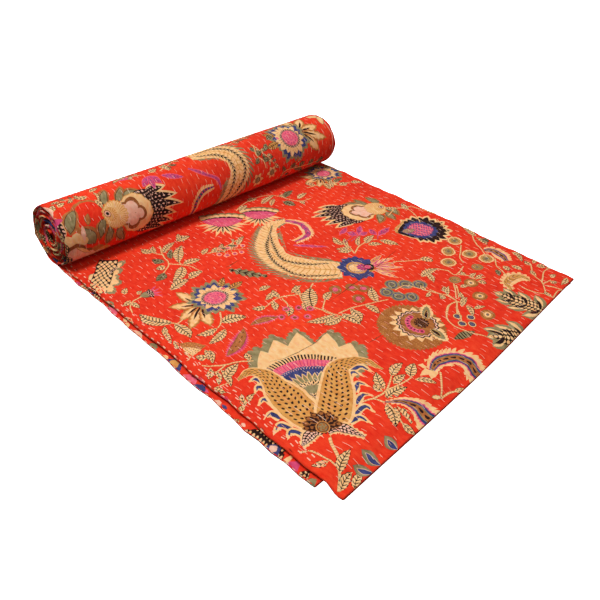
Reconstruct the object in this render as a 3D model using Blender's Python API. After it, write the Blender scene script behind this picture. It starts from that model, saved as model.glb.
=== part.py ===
"""Kantha quilt, folded lengthwise into four layers and rolled up from its far end.

One cloth, so one closed solid. X runs across the strip, Y along it from the near end to the
roll, Z up. The origin is the bottom centre of the bounding box. In the flat run the four
layers lie a little apart, as one back-and-forth section. Round the roll they are pressed
together into one band, which winds upwards over the back and inwards on itself.
"""

import math

import bmesh
import bpy

# Driving sizes, in metres
STRIP_WIDTH = 0.576  # across the folded strip, a quarter of the quilt's long side
FLAT_RUN = 0.553  # from the near end of the lower layers to the middle of the roll
CLOTH = 0.00175  # one thickness of the quilted cloth
LOOSE_GAP = 0.0009  # air between two layers where the strip lies flat
CLOSING_GAP = 0.0004  # the same where the roll begins to press on them
ROLL_DIAMETER = 0.104  # of the outermost turn, where it leaves the surface
TURN_GAP = 0.00035  # air between two turns of the roll
CORE_RADIUS = 0.004  # open middle of the roll
SWELL = 0.0011  # how far loose layers rise and fall
SWELL_ALONG = 0.350  # length of one swell along the strip
SWELL_ACROSS = 0.530  # and across it
SIDE_PUFF = 0.090  # the layers stand further apart this near to the strip's sides

# Places along the flat run, measured from the near end of the lower layers
NEAR_STATIONS = (0.0, 0.010, 0.022, 0.040, 0.070)
STATION_STEP = 0.040
PRESSED_FROM = 0.030  # the layers touch this far before the middle of the roll
PRESSED_AT = 0.014  # and lie as thin as the rolled band from here on
SKEW_RUN = 0.110  # the uneven near end fades out over this length
DROOP_START = 0.003  # the upper layers bend down this far past the lower ones
DROOP_RUN = 0.018  # and reach the surface after this much more

STEPS_PER_TURN = 20
COLUMNS = (0.0, 0.2, 0.4, 0.6, 0.8, 1.0)  # points across each layer
FOLD_ANGLES = (45.0, 90.0, 135.0)  # points round the outside of a fold, in degrees

# How far the near end of the layers reaches past its own start.
# Columns: place across, as a share of half the strip's width; reach
LOWER_REACH = (
    (-1.00, 0.000),
    (0.00, 0.000),
    (0.90, 0.004),
    (1.00, 0.0045),
)
UPPER_REACH = (
    (-1.00, 0.032),
    (-0.35, 0.027),
    (0.00, 0.023),
    (0.49, 0.014),
    (0.90, 0.007),
    (1.00, 0.0045),
)

# Side edges. Columns: side (-1 is the left one), how far the edge lies past half the strip's
# width at the near end and at the roll, size of its waves
EDGES = {
    "left_lower": (-1, 0.0095, -0.0025, 0.0010),
    "left_upper": (-1, -0.0010, -0.0048, 0.0010),
    "right_fold": (1, 0.0005, 0.0025, 0.0010),
    "hem_lower": (1, -0.0050, -0.0035, 0.0010),
    "hem_upper": (1, -0.0035, -0.0025, 0.0010),
}
EDGE_WAVE = 0.130  # length of one wave of an edge
WAVE_SHIFT = 0.9  # each edge's waves start this much further round, in radians

BAND = 4 * CLOTH  # the four layers pressed together
TURN_PITCH = BAND + TURN_GAP
ROLL_RADIUS = ROLL_DIAMETER / 2


def smooth(value):
    """0 below 0, 1 above 1, with a soft start and end between them."""
    value = min(max(value, 0.0), 1.0)
    return value * value * (3.0 - 2.0 * value)


def read_table(table, place):
    """The value at a place in a table of (place, value) rows, straight between rows."""
    for (start, low), (end, high) in zip(table, table[1:]):
        if place <= end:
            share = max(place - start, 0.0) / (end - start)
            return low + (high - low) * share
    return table[-1][1]


def edge(name, along):
    """Where an edge of the strip lies across it, at a length along the strip."""
    side, near, far, wave = EDGES[name]
    past = near + (far - near) * smooth(along / FLAT_RUN)
    phase = 2 * math.pi * along / EDGE_WAVE + WAVE_SHIFT * list(EDGES).index(name)
    return side * (STRIP_WIDTH / 2 + past) + wave * math.sin(phase)


def layer_gaps(along, across):
    """Air above the first, second and third layer, which differs from place to place."""
    pressed = smooth((along - (FLAT_RUN - 3 * PRESSED_FROM)) / (2 * PRESSED_FROM))
    loose = LOOSE_GAP + (CLOSING_GAP - LOOSE_GAP) * pressed
    lift = SWELL * (1.0 - pressed)
    waves = math.sin(2 * math.pi * along / SWELL_ALONG) * math.cos(2 * math.pi * across / SWELL_ACROSS)
    side = smooth(1 - (STRIP_WIDTH / 2 - abs(across)) / SIDE_PUFF)
    return (loose, loose + lift * side / 2, loose + lift * (1 + waves) / 2)


def flat_section(along):
    """The folded strip's outline at a length along it, as named runs of points.

    Each point is (across, along, height). A run goes from one side of a layer to the other,
    or round a fold. The runs follow each other round the outline of the one cloth.
    """
    left_lower = edge("left_lower", along)
    left_upper = edge("left_upper", along)
    right_fold = edge("right_fold", along)
    skew = 1.0 - smooth(along / SKEW_RUN)

    def place(layer, across, face):
        """A point on the under (0) or upper (1) face of a layer, from 1 at the bottom."""
        gaps = layer_gaps(along, across)
        height = (layer - 1 + face) * CLOTH + sum(gaps[: layer - 1])
        share = across / (STRIP_WIDTH / 2)
        lower_reach = read_table(LOWER_REACH, share)
        if layer < 3:
            return (across, along - lower_reach * skew, height)
        reach = read_table(UPPER_REACH, share) * skew
        past = reach - along - lower_reach
        below = 2 * CLOTH + gaps[0] + gaps[1]
        height -= below * smooth((past - DROOP_START) / DROOP_RUN)
        return (across, along - reach, height)

    def straight(layer, face, start, end):
        """One face of a layer from its left to its right end."""
        return [place(layer, start + (end - start) * share, face) for share in COLUMNS]

    def fold(lower, upper, side):
        """Points round a half circle that joins two faces; side is -1 for the left."""
        radius = (upper[2] - lower[2]) / 2
        points = []
        for angle in FOLD_ANGLES:
            turn = math.radians(angle)
            share = (1.0 - math.cos(turn)) / 2
            along_here = lower[1] + (upper[1] - lower[1]) * share
            across_here = lower[0] + (upper[0] - lower[0]) * share
            out = side * radius * math.sin(turn)
            points.append((across_here + out, along_here, lower[2] + 2 * radius * share))
        return points

    def middle(lower, upper, side):
        """The one point inside a fold."""
        across, along, height = ((a + b) / 2 for a, b in zip(lower, upper))
        return [(across + side * (upper[2] - lower[2]) / 2, along, height)]

    pair = 2 * CLOTH + LOOSE_GAP
    start_lower = left_lower + pair / 2
    start_upper = left_upper + pair / 2
    end_fold = right_fold - pair / 2
    under_1 = straight(1, 0, start_lower, edge("hem_lower", along))
    over_1 = straight(1, 1, start_lower, edge("hem_lower", along))
    under_2 = straight(2, 0, start_lower, end_fold)
    over_2 = straight(2, 1, start_lower, end_fold)
    under_3 = straight(3, 0, start_upper, end_fold)
    over_3 = straight(3, 1, start_upper, end_fold)
    under_4 = straight(4, 0, start_upper, edge("hem_upper", along))
    over_4 = straight(4, 1, start_upper, edge("hem_upper", along))
    return {
        "under_1": under_1[::-1],
        "fold_12": fold(under_1[0], over_2[0], -1),
        "over_2": over_2,
        "inner_23": middle(over_2[-1], under_3[-1], 1),
        "under_3": under_3[::-1],
        "fold_34": fold(under_3[0], over_4[0], -1),
        "over_4": over_4,
        "under_4": under_4[::-1],
        "inner_34": middle(over_3[0], under_4[0], -1),
        "over_3": over_3,
        "fold_23": fold(under_2[-1], over_3[-1], 1)[::-1],
        "under_2": under_2[::-1],
        "inner_12": middle(over_1[0], under_2[0], -1),
        "over_1": over_1,
    }


def band_section(along):
    """The pressed strip's outline at a length along it: only its outer faces and folds.

    Each point is named by its run and its number there, as in flat_section, and is
    (across, height above the band's outer face).
    """
    start_lower = edge("left_lower", along) + CLOTH
    start_upper = edge("left_upper", along) + CLOTH
    end_fold = edge("right_fold", along) - CLOTH
    hem_lower = edge("hem_lower", along)
    hem_upper = edge("hem_upper", along)
    last = len(COLUMNS) - 1
    outline = [
        (("under_1", 0), (hem_lower, 0.0)),
        (("under_1", last), (start_lower, 0.0)),
    ]
    outline += band_fold("fold_12", start_lower, -1, FOLD_ANGLES, CLOTH)
    outline += [
        (("over_2", 0), (start_lower, 2 * CLOTH)),
        (("under_3", last), (start_upper, 2 * CLOTH)),
    ]
    outline += band_fold("fold_34", start_upper, -1, FOLD_ANGLES, 3 * CLOTH)
    outline += [
        (("over_4", 0), (start_upper, BAND)),
        (("over_4", last), (hem_upper, BAND)),
        (("under_4", 0), (hem_upper, 3 * CLOTH)),
        (("over_3", last), (end_fold, 3 * CLOTH)),
    ]
    outline += band_fold("fold_23", end_fold, 1, FOLD_ANGLES[::-1], 2 * CLOTH)
    outline += [
        (("under_2", 0), (end_fold, CLOTH)),
        (("over_1", last), (hem_lower, CLOTH)),
    ]
    return outline


def band_fold(name, across, side, angles, height):
    """Points round a pressed fold whose middle is at a height in the band."""
    points = []
    for number, angle in enumerate(angles):
        turn = math.radians(angle)
        out = side * CLOTH * math.sin(turn)
        points.append(((name, number), (across + out, height - CLOTH * math.cos(turn))))
    return points


def wind(across, turn, height):
    """A point of the band round the roll: turn in radians from the bottom, over the back."""
    radius = ROLL_RADIUS - TURN_PITCH * turn / (2 * math.pi) - height
    return (across, FLAT_RUN + radius * math.sin(turn), ROLL_RADIUS - radius * math.cos(turn))


def roll_turns():
    """The angles of the roll's stations, from under its middle to its core."""
    last = 2 * math.pi * (ROLL_RADIUS - BAND - CORE_RADIUS) / TURN_PITCH
    steps = int(last / (2 * math.pi) * STEPS_PER_TURN)
    return [2 * math.pi * step / STEPS_PER_TURN for step in range(steps + 1)]


def band_length(turn):
    """Length along the middle of the band from under the roll to a turn."""
    start = ROLL_RADIUS - BAND / 2
    return start * turn - TURN_PITCH * turn * turn / (4 * math.pi)


def bridge(mesh, ring, following):
    """Faces between two rings of named corners. The second may leave corners out."""
    keys = list(ring)
    kept = list(following)
    for first, second in zip(kept, kept[1:] + kept[:1]):
        start, end = keys.index(first), keys.index(second)
        same_run = first[0] == second[0] and start < end
        between = keys[start : end + 1] if same_run else [first, second]
        corners = [ring[key] for key in between] + [following[second], following[first]]
        mesh.faces.new(corners)


def close_between(mesh, ring, one, other, fold=None, joint=()):
    """Faces between two runs of a ring that lie over each other, and at the fold beside them."""
    last = len(COLUMNS) - 1
    for number in range(last):
        facing = last - number
        mesh.faces.new(
            [ring[one, number], ring[one, number + 1], ring[other, facing - 1], ring[other, facing]]
        )
    if fold:
        mesh.faces.new([ring[key] for key in (*joint, (fold, 0))])


def build_quilt():
    """The whole quilt as one closed mesh."""
    mesh = bmesh.new()
    last = len(COLUMNS) - 1

    rest = FLAT_RUN - PRESSED_FROM - NEAR_STATIONS[-1]
    spans = round(rest / STATION_STEP)
    stations = list(NEAR_STATIONS)
    stations += [NEAR_STATIONS[-1] + rest * (number + 1) / spans for number in range(spans)]

    rings = []
    for along in stations:
        section = flat_section(along)
        ring = {}
        for run, points in section.items():
            for number, point in enumerate(points):
                ring[run, number] = mesh.verts.new(point)
        rings.append(ring)
    for ring, following in zip(rings, rings[1:]):
        bridge(mesh, ring, following)

    # The near end: the cut face of each layer, and of the three folds that join them
    near = rings[0]
    for layer in range(1, 5):
        close_between(mesh, near, f"under_{layer}", f"over_{layer}")
    for fold, inner, ends in (
        ("fold_12", "inner_12", (("under_1", last), ("over_2", 0), ("under_2", last), ("over_1", 0))),
        ("fold_34", "inner_34", (("under_3", last), ("over_4", 0), ("under_4", last), ("over_3", 0))),
        ("fold_23", "inner_23", (("over_3", last), ("under_2", 0), ("over_2", last), ("under_3", 0))),
    ):
        lower_half = (ends[0], (fold, 0), (fold, 1), (inner, 0), ends[3])
        upper_half = ((fold, 1), (fold, 2), ends[1], ends[2], (inner, 0))
        for corners in (lower_half, upper_half):
            mesh.faces.new([near[key] for key in corners])

    # Where the layers are pressed together, the air between them ends
    end = rings[-1]
    close_between(mesh, end, "over_1", "under_2", "inner_12", (("over_1", 0), ("under_2", last)))
    close_between(mesh, end, "over_2", "under_3", "inner_23", (("over_2", last), ("under_3", 0)))
    close_between(mesh, end, "over_3", "under_4", "inner_34", (("over_3", 0), ("under_4", last)))

    along = FLAT_RUN - PRESSED_AT
    band = {key: mesh.verts.new((across, along, height)) for key, (across, height) in band_section(along)}
    bridge(mesh, end, band)
    for turn in roll_turns():
        section = band_section(FLAT_RUN + band_length(turn))
        following = {key: mesh.verts.new(wind(across, turn, height)) for key, (across, height) in section}
        bridge(mesh, band, following)
        band = following
    mesh.faces.new(list(band.values()))

    bmesh.ops.triangulate(mesh, faces=mesh.faces[:])
    bmesh.ops.recalc_face_normals(mesh, faces=mesh.faces[:])
    return mesh


def stand_on_origin(mesh):
    """Move the mesh so that the origin is the bottom centre of its bounding box."""
    lows = [min(vert.co[axis] for vert in mesh.verts) for axis in range(3)]
    highs = [max(vert.co[axis] for vert in mesh.verts) for axis in range(3)]
    shift = (-(lows[0] + highs[0]) / 2, -(lows[1] + highs[1]) / 2, -lows[2])
    bmesh.ops.translate(mesh, verts=mesh.verts[:], vec=shift)


def cotton_print():
    """Red printed cotton."""
    material = bpy.data.materials.new("red printed cotton")
    material.use_nodes = True
    surface = material.node_tree.nodes["Principled BSDF"]
    surface.inputs["Base Color"].default_value = (0.72, 0.045, 0.02, 1.0)
    surface.inputs["Roughness"].default_value = 0.85
    surface.inputs["Metallic"].default_value = 0.0
    return material


def main():
    for thing in list(bpy.data.objects):
        bpy.data.objects.remove(thing)
    mesh = build_quilt()
    stand_on_origin(mesh)
    data = bpy.data.meshes.new("quilt")
    mesh.to_mesh(data)
    mesh.free()
    data.materials.append(cotton_print())
    data.shade_smooth()
    data.set_sharp_from_angle(angle=math.radians(40))
    quilt = bpy.data.objects.new("quilt", data)
    bpy.context.scene.collection.objects.link(quilt)


main()
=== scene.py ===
import math

import bpy
import numpy as np
from mathutils import Matrix, Vector


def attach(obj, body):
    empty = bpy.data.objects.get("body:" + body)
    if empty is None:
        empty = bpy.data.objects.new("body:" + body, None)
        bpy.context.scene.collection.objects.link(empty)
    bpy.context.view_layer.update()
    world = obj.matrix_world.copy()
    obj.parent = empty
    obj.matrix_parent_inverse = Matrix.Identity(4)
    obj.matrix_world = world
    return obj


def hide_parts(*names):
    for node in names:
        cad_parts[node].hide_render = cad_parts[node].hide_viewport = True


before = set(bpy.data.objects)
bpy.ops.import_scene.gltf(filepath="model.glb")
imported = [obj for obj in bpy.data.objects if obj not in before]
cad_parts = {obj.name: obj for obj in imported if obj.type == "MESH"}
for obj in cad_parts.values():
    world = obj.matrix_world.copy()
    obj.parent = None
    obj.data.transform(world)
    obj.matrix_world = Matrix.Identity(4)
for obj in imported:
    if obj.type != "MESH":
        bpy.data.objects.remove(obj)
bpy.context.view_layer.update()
bpy.ops.object.select_all(action="DESELECT")

# camera, floor and lights

view = {
    "eye": (-0.6512, -0.5756, 0.5867),
    "turn": 47.52,  # degrees from straight ahead, to the right
    "down": 36.41,
    "tilt": 3.652,
    "lens": 40.56,
    "sensor": 36.0,
}


def addCamera(view):
    turn = math.radians(view["turn"])
    down = math.radians(view["down"])
    tilt = math.radians(view["tilt"])
    ahead = Vector((math.sin(turn) * math.cos(down), math.cos(turn) * math.cos(down), -math.sin(down)))
    levelRight = ahead.cross(Vector((0, 0, 1))).normalized()
    levelUp = levelRight.cross(ahead)
    right = levelRight * math.cos(tilt) + levelUp * math.sin(tilt)
    up = levelUp * math.cos(tilt) - levelRight * math.sin(tilt)
    bpy.ops.object.camera_add()
    camera = bpy.context.object
    camera.name = "camera"
    place = Matrix((right, up, -ahead)).transposed().to_4x4()
    place.translation = Vector(view["eye"])
    camera.matrix_world = place
    camera.data.sensor_width = view["sensor"]
    camera.data.lens = view["lens"]
    camera.data.clip_start = 0.01
    bpy.context.scene.camera = camera
    bpy.context.scene.view_settings.view_transform = "Standard"  # as a plain product photograph


studio = {
    "floorSize": 14.0,
    "floorColour": (0.90, 0.90, 0.90),
    "floorRoughness": 0.9,
    "floorGlow": 1.4,
    "sky": 0.13,
    "lights": (
        # place, aims at, size, power
        ((-0.8, 0.15, 2.80), (0.0, 0.0, 0.0), 0.9, 64.0),
        ((1.7, -1.2, 1.9), (0.0, 0.0, 0.0), 1.8, 9.0),
        ((0.4, 2.0, 2.2), (0.0, 0.1, 0.0), 1.6, 15.0),
    ),
}


def addStudio(studio):
    bpy.ops.mesh.primitive_plane_add(size=studio["floorSize"], location=(0, 0, -0.0002))
    floor = bpy.context.object
    floor.name = "floor"
    pale = bpy.data.materials.new("pale floor")
    pale.use_nodes = True
    inputs = pale.node_tree.nodes["Principled BSDF"].inputs
    inputs["Base Color"].default_value = (*studio["floorColour"], 1.0)
    inputs["Roughness"].default_value = studio["floorRoughness"]
    inputs["Emission Color"].default_value = (1, 1, 1, 1)
    inputs["Emission Strength"].default_value = studio["floorGlow"]
    floor.data.materials.append(pale)
    floor.visible_diffuse = False  # its glow is for the view, and lights nothing
    floor.visible_glossy = False
    for number, (place, target, size, power) in enumerate(studio["lights"]):
        bpy.ops.object.light_add(type="AREA", location=place)
        light = bpy.context.object
        light.name = f"softbox {number + 1}"
        light.data.shape = "DISK"
        light.data.size = size
        light.data.energy = power
        toTarget = Vector(target) - Vector(place)
        light.rotation_euler = toTarget.to_track_quat("-Z", "Y").to_euler()
    world = bpy.data.worlds.new("studio")
    bpy.context.scene.world = world
    world.use_nodes = True
    inputs = world.node_tree.nodes["Background"].inputs
    inputs["Color"].default_value = (1, 1, 1, 1)
    inputs["Strength"].default_value = studio["sky"]


addCamera(view)
addStudio(studio)
print("camera, floor and lights are in place")

# how the cloth is folded and rolled, in the CAD model's own sizes

strip = {
    "width": 0.576,
    "flatRun": 0.553,  # near end of the lower layers to the middle of the roll
    "layer": 0.00175,  # room for one layer
    "cloth": 0.0016,  # the cloth itself
    "looseGap": 0.0009,
    "closingGap": 0.0004,
    "rollRadius": 0.052,
    "pitch": 0.00735,  # the roll's radius shrinks this much a turn
    "lastTurn": 35.05,  # radians, from under the roll to its core
    "swell": 0.0011,
    "swellAlong": 0.350,
    "swellAcross": 0.530,
    "sidePuff": 0.090,
    "uneven": 0.0009,
    "unevenLength": 0.060,
    "pressedFrom": 0.030,
    "pressedAt": 0.014,
    "skewRun": 0.110,
    "droopStart": 0.003,
    "droopRun": 0.018,
    "edgeWave": 0.130,
    "shift": (0.003, -0.28563),  # from the strip's own start to the model's origin
    "lowerReach": ((-1.0, 0.0), (0.0, 0.0), (0.9, 0.004), (1.0, 0.0045)),
    "upperReach": (
        (-1.0, 0.032),
        (-0.35, 0.027),
        (0.0, 0.023),
        (0.49, 0.014),
        (0.9, 0.007),
        (1.0, 0.0045),
    ),
    # side, past half the width at the near end and at the roll, waves
    "edges": {
        "leftLower": (-1, 0.0095, -0.0025, 0.0010),
        "leftUpper": (-1, -0.0010, -0.0048, 0.0010),
        "rightFold": (1, 0.0005, 0.0025, 0.0010),
        "hemLower": (1, -0.0050, -0.0035, 0.0010),
        "hemUpper": (1, -0.0035, -0.0025, 0.0010),
    },
}

quilting = {
    "row": 0.0105,  # between two rows of stitches
    "rowsPerLayer": 55,
    "period": 0.0192,  # one stitch and the gap after it
    "dip": 0.00062,  # how deep a row pulls the cloth in
    "wander": 0.0012,
    "wanderLength": 0.210,
    "straightHem": 0.020,  # the rows don't wander this near a hem
    "flatHem": 0.006,  # and pull less this near it
}

layerRun = quilting["row"] * quilting["rowsPerLayer"]
foldRun = quilting["row"]
layerUnit = layerRun + foldRun
clothAcross = 4 * layerRun + 3 * foldRun
outerRadius = strip["rollRadius"] - 2 * strip["layer"]


def soft(value):
    value = np.clip(value, 0.0, 1.0)
    return value * value * (3.0 - 2.0 * value)


def turnToAlong(turn):
    return strip["flatRun"] + outerRadius * turn - strip["pitch"] * turn**2 / (4 * math.pi)


def alongToTurn(along):
    past = np.clip(along - strip["flatRun"], 0.0, None)
    root = np.sqrt(np.clip(outerRadius**2 - strip["pitch"] * past / math.pi, 0.0, None))
    return (outerRadius - root) * 2 * math.pi / strip["pitch"]


clothAlong = float(turnToAlong(strip["lastTurn"]))


def edgeAt(name, along):
    side, near, far, wave = strip["edges"][name]
    past = near + (far - near) * soft(along / strip["flatRun"])
    phase = 2 * math.pi * along / strip["edgeWave"] + 0.9 * list(strip["edges"]).index(name)
    small = 0.9 * np.sin(3.1 * phase + 1.0) + 0.5 * np.sin(7.3 * phase + 2.0)
    return side * (strip["width"] / 2 + past) + wave * (np.sin(phase) + small)


def ripple(across, along, seed, length):
    # smooth, uneven waves between -1 and 1
    total = np.zeros_like(across)
    for number in range(5):
        angle = 2.4 * number + seed
        reach = length * (0.72 + 0.19 * number)
        flow = across * math.cos(angle) + along * math.sin(angle)
        total += np.sin(2 * math.pi * flow / reach + 1.7 * number * seed)
    return total / 5


creases = (
    # start and end of a soft line across the top, in the strip's own across and along; depth, width
    ((-0.053, 0.208), (0.062, 0.219), 0.0016, 0.0036),
    ((0.055, 0.218), (0.171, 0.230), 0.0014, 0.0036),
    ((-0.204, 0.171), (-0.160, 0.160), 0.0014, 0.0034),
    ((-0.166, 0.160), (-0.094, 0.165), 0.0014, 0.0034),
    ((-0.080, 0.110), (-0.046, 0.109), 0.0013, 0.0034),
    ((-0.112, 0.371), (-0.074, 0.374), 0.0012, 0.0034),
    ((0.060, 0.330), (0.215, 0.318), 0.0008, 0.0045),
)


def creaseDepth(across, along):
    depth = np.zeros_like(across)
    for (startX, startY), (endX, endY), deep, width in creases:
        runX, runY = endX - startX, endY - startY
        length = math.hypot(runX, runY)
        share = ((across - startX) * runX + (along - startY) * runY) / length**2
        off = ((across - startX) * runY - (along - startY) * runX) / length
        off = off + 0.0016 * np.sin(share * 9.0)
        ends = soft((share + 0.08) / 0.25) * soft((1.08 - share) / 0.25)
        trough = np.exp(-((off / width) ** 2))
        shoulder = 0.45 * np.exp(-(((off - 1.9 * width) / (1.3 * width)) ** 2))
        depth += deep * ends * (trough - shoulder)
    return depth


def layerHeight(layer, across, along):
    # height of the middle of a layer, from 1 at the bottom
    near, at = strip["pressedFrom"], strip["pressedAt"]
    pressed = soft((along - (strip["flatRun"] - 3 * near)) / (2 * near))
    closed = soft((along - strip["flatRun"] + near) / (near - at))
    loose = strip["looseGap"] + (strip["closingGap"] - strip["looseGap"]) * pressed
    lift = strip["swell"] * (1.0 - pressed)
    waves = np.sin(2 * math.pi * along / strip["swellAlong"])
    waves = waves * np.cos(2 * math.pi * across / strip["swellAcross"])
    side = soft(1 - (strip["width"] / 2 - np.abs(across)) / strip["sidePuff"])
    top = lift * (1 + waves) / 2
    bumps = 0.5 + 0.5 * ripple(across, along, 1.3, strip["unevenLength"])
    uneven = bumps * strip["uneven"] * (1.0 - pressed)
    creased = creaseDepth(across, along) * (1.0 - pressed)
    gaps = (loose, loose + lift * side / 2, loose + top + uneven - creased)
    height = (layer - 0.5) * strip["layer"]
    for number, gap in enumerate(gaps):
        height = height + np.where(layer > number + 1, gap, 0.0) * (1.0 - closed)
    return height


def layOnStrip(across, along, lift):
    # where a point of the flat cloth lies, lift metres from its middle towards the printed side
    half = strip["cloth"] / 2
    piece = np.minimum(np.floor(across / layerUnit), 3.0)
    into = across - piece * layerUnit
    isFold = (into > layerRun) & (piece < 3)
    share = np.clip(into / layerRun, 0.0, 1.0)
    bendShare = np.clip((into - layerRun) / foldRun, 0.0, 1.0)

    def foldEnds(lower, edgeName, side):
        edge = edgeAt(edgeName, along)
        spread = (layerHeight(lower + 1, edge, along) - layerHeight(lower, edge, along)) / 2
        place = edge - side * (spread + half)
        return place, layerHeight(lower, place, along), layerHeight(lower + 1, place, along)

    folds = (foldEnds(1, "leftLower", -1), foldEnds(2, "rightFold", 1), foldEnds(3, "leftUpper", -1))
    starts = (edgeAt("hemLower", along), folds[0][0], folds[1][0], folds[2][0])
    ends = (folds[0][0], folds[1][0], folds[2][0], edgeAt("hemUpper", along))
    start = np.choose(piece.astype(int), starts)
    end = np.choose(piece.astype(int), ends)
    x = start + (end - start) * share
    height = layerHeight(piece + 1, x, along)
    outward = np.where(piece % 2 == 0, -1.0, 1.0)
    normalX = np.zeros_like(x)
    normalH = outward.copy()

    foldPiece = np.minimum(piece, 2.0).astype(int)
    foldX = np.choose(foldPiece, [fold[0] for fold in folds])
    low = np.choose(foldPiece, [fold[1] for fold in folds])
    high = np.choose(foldPiece, [fold[2] for fold in folds])
    side = np.where(foldPiece == 1, 1.0, -1.0)
    faces = np.where(foldPiece == 1, -1.0, 1.0)
    angle = math.pi * bendShare
    x = np.where(isFold, foldX + side * (high - low) / 2 * np.sin(angle), x)
    height = np.where(isFold, (low + high) / 2 - (high - low) / 2 * np.cos(angle), height)
    normalX = np.where(isFold, faces * side * np.sin(angle), normalX)
    normalH = np.where(isFold, -faces * np.cos(angle), normalH)
    x = x + lift * normalX
    height = height + lift * normalH

    upper = np.where(piece >= 2, 1.0, 0.0)
    upper = np.where(isFold & (piece == 1), soft(bendShare), upper)
    ratio = x / (strip["width"] / 2)
    skew = 1.0 - soft(along / strip["skewRun"])
    lowerReach = np.interp(ratio, *zip(*strip["lowerReach"])) * skew
    upperReach = np.interp(ratio, *zip(*strip["upperReach"])) * skew
    y = along - lowerReach * (1 - upper) - upperReach * upper
    past = upperReach - along - lowerReach
    below = layerHeight(np.full_like(x, 3.0), x, along) - layerHeight(np.full_like(x, 1.0), x, along)
    z = height - upper * below * soft((past - strip["droopStart"]) / strip["droopRun"])

    turn = alongToTurn(along)
    radius = strip["rollRadius"] - strip["pitch"] * turn / (2 * math.pi) - height
    rolled = along > strip["flatRun"]
    y = np.where(rolled, strip["flatRun"] + radius * np.sin(turn), y)
    z = np.where(rolled, strip["rollRadius"] - radius * np.cos(turn), z)
    return np.stack((x + strip["shift"][0], y + strip["shift"][1], z), axis=-1)


def rowPlace(rows, along):
    # a row of stitches is straight on the whole, but wanders
    across = rows * quilting["row"]
    fade = soft(np.minimum(across, clothAcross - across) / quilting["straightHem"])
    drift = ripple(across * 0.35, along, 0.7, quilting["wanderLength"])
    return across + quilting["wander"] * drift * fade


def rowDip(rows, along):
    # how far the stitches pull the cloth in, which fades at the hems
    near = np.abs(rows - np.round(rows))
    valley = np.cos(math.pi * near) ** 2
    pulls = 0.75 + 0.25 * np.cos(2 * math.pi * along / quilting["period"] + 2.4 * np.round(rows))
    across = rows * quilting["row"]
    hem = soft(np.minimum(np.minimum(across, clothAcross - across), along) / quilting["flatHem"])
    return quilting["dip"] * valley * pulls * hem


# the cloth

cut = {
    # lines across a layer, in rows from its start; the folds between the layers have their own
    "layerLines": (0, 0.333333, 1, 2, 5, 10, 15, 20, 25, 30, 35, 40, 45, 50, 53, 54, 54.666667, 55),
    "foldLines": (0.11, 0.22, 0.34, 0.45, 0.55, 0.66, 0.78, 0.89),
    "hemLines": (0.0008, 0.0024),
    "nearLines": (0.0, 0.0008, 0.0024, 0.0055, 0.011),
    "flatStep": 0.022,
    "stepsPerTurn": 30,
    "fineAcross": 0.0035,
    "margin": 0.0005,
    "pastRoll": 0.012,
    "roundedHem": 0.0024,
    "thinnestHem": 0.30,
    "least": 0.00015,  # nearest that either face comes to the middle of the cloth
    "backDip": 0.4,  # how much of a row's dip shows on the back
}


def readAll(items, name, width, kind=np.float32):
    # one value, or one row of values, for each point, edge, face or corner
    values = np.empty(len(items) * width, kind)
    items.foreach_get(name, values)
    return values.reshape(-1, width) if width > 1 else values


def moveTo(piece, places):
    piece.data.vertices.foreach_set("co", places.astype(np.float32).ravel())
    piece.data.update()


def clothLines():
    across = []
    for layer in range(4):
        start = layer * layerUnit
        across += [start + line * quilting["row"] for line in cut["layerLines"]]
        if layer < 3:
            across += [start + layerRun + line * foldRun for line in cut["foldLines"]]
    across += cut["hemLines"]
    across += [clothAcross - line for line in cut["hemLines"]]
    across = sorted(set(round(line, 7) for line in across))
    along = list(cut["nearLines"])
    steps = round((strip["flatRun"] - cut["flatStep"]) / cut["flatStep"])
    first = cut["flatStep"]
    along += [first + (strip["flatRun"] - first) * step / steps for step in range(steps + 1)]
    last = int(strip["lastTurn"] / (2 * math.pi) * cut["stepsPerTurn"])
    along += [float(turnToAlong(2 * math.pi * step / cut["stepsPerTurn"])) for step in range(1, last)]
    along += [clothAlong - line for line in (0.008, 0.0024, 0.0008, 0.0)]
    return across, sorted(along)


def selectEdges(piece, wanted):
    bpy.ops.mesh.select_all(action="DESELECT")
    bpy.ops.object.mode_set(mode="OBJECT")
    piece.data.edges.foreach_set("select", wanted)
    bpy.ops.object.mode_set(mode="EDIT")


def edgeFacts(piece):
    # middle and size of each edge
    bpy.ops.object.mode_set(mode="OBJECT")
    ends = readAll(piece.data.edges, "vertices", 2, np.int32)
    first, second = readAll(piece.data.vertices, "co", 3)[ends].transpose(1, 0, 2)
    bpy.ops.object.mode_set(mode="EDIT")
    return (first + second) / 2, np.abs(first - second)


def isShown(middle):
    # the top layer and the roll's outer turn
    margin = cut["margin"]
    across, along = middle[:, 0], middle[:, 1]
    top = (across > 3 * layerUnit - margin) & (along < strip["flatRun"] + margin)
    outer = float(turnToAlong(2 * math.pi)) + cut["pastRoll"]
    roll = across < layerRun + margin
    roll &= (along > strip["flatRun"] - cut["pastRoll"] - margin) & (along < outer + margin)
    return top | roll


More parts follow.
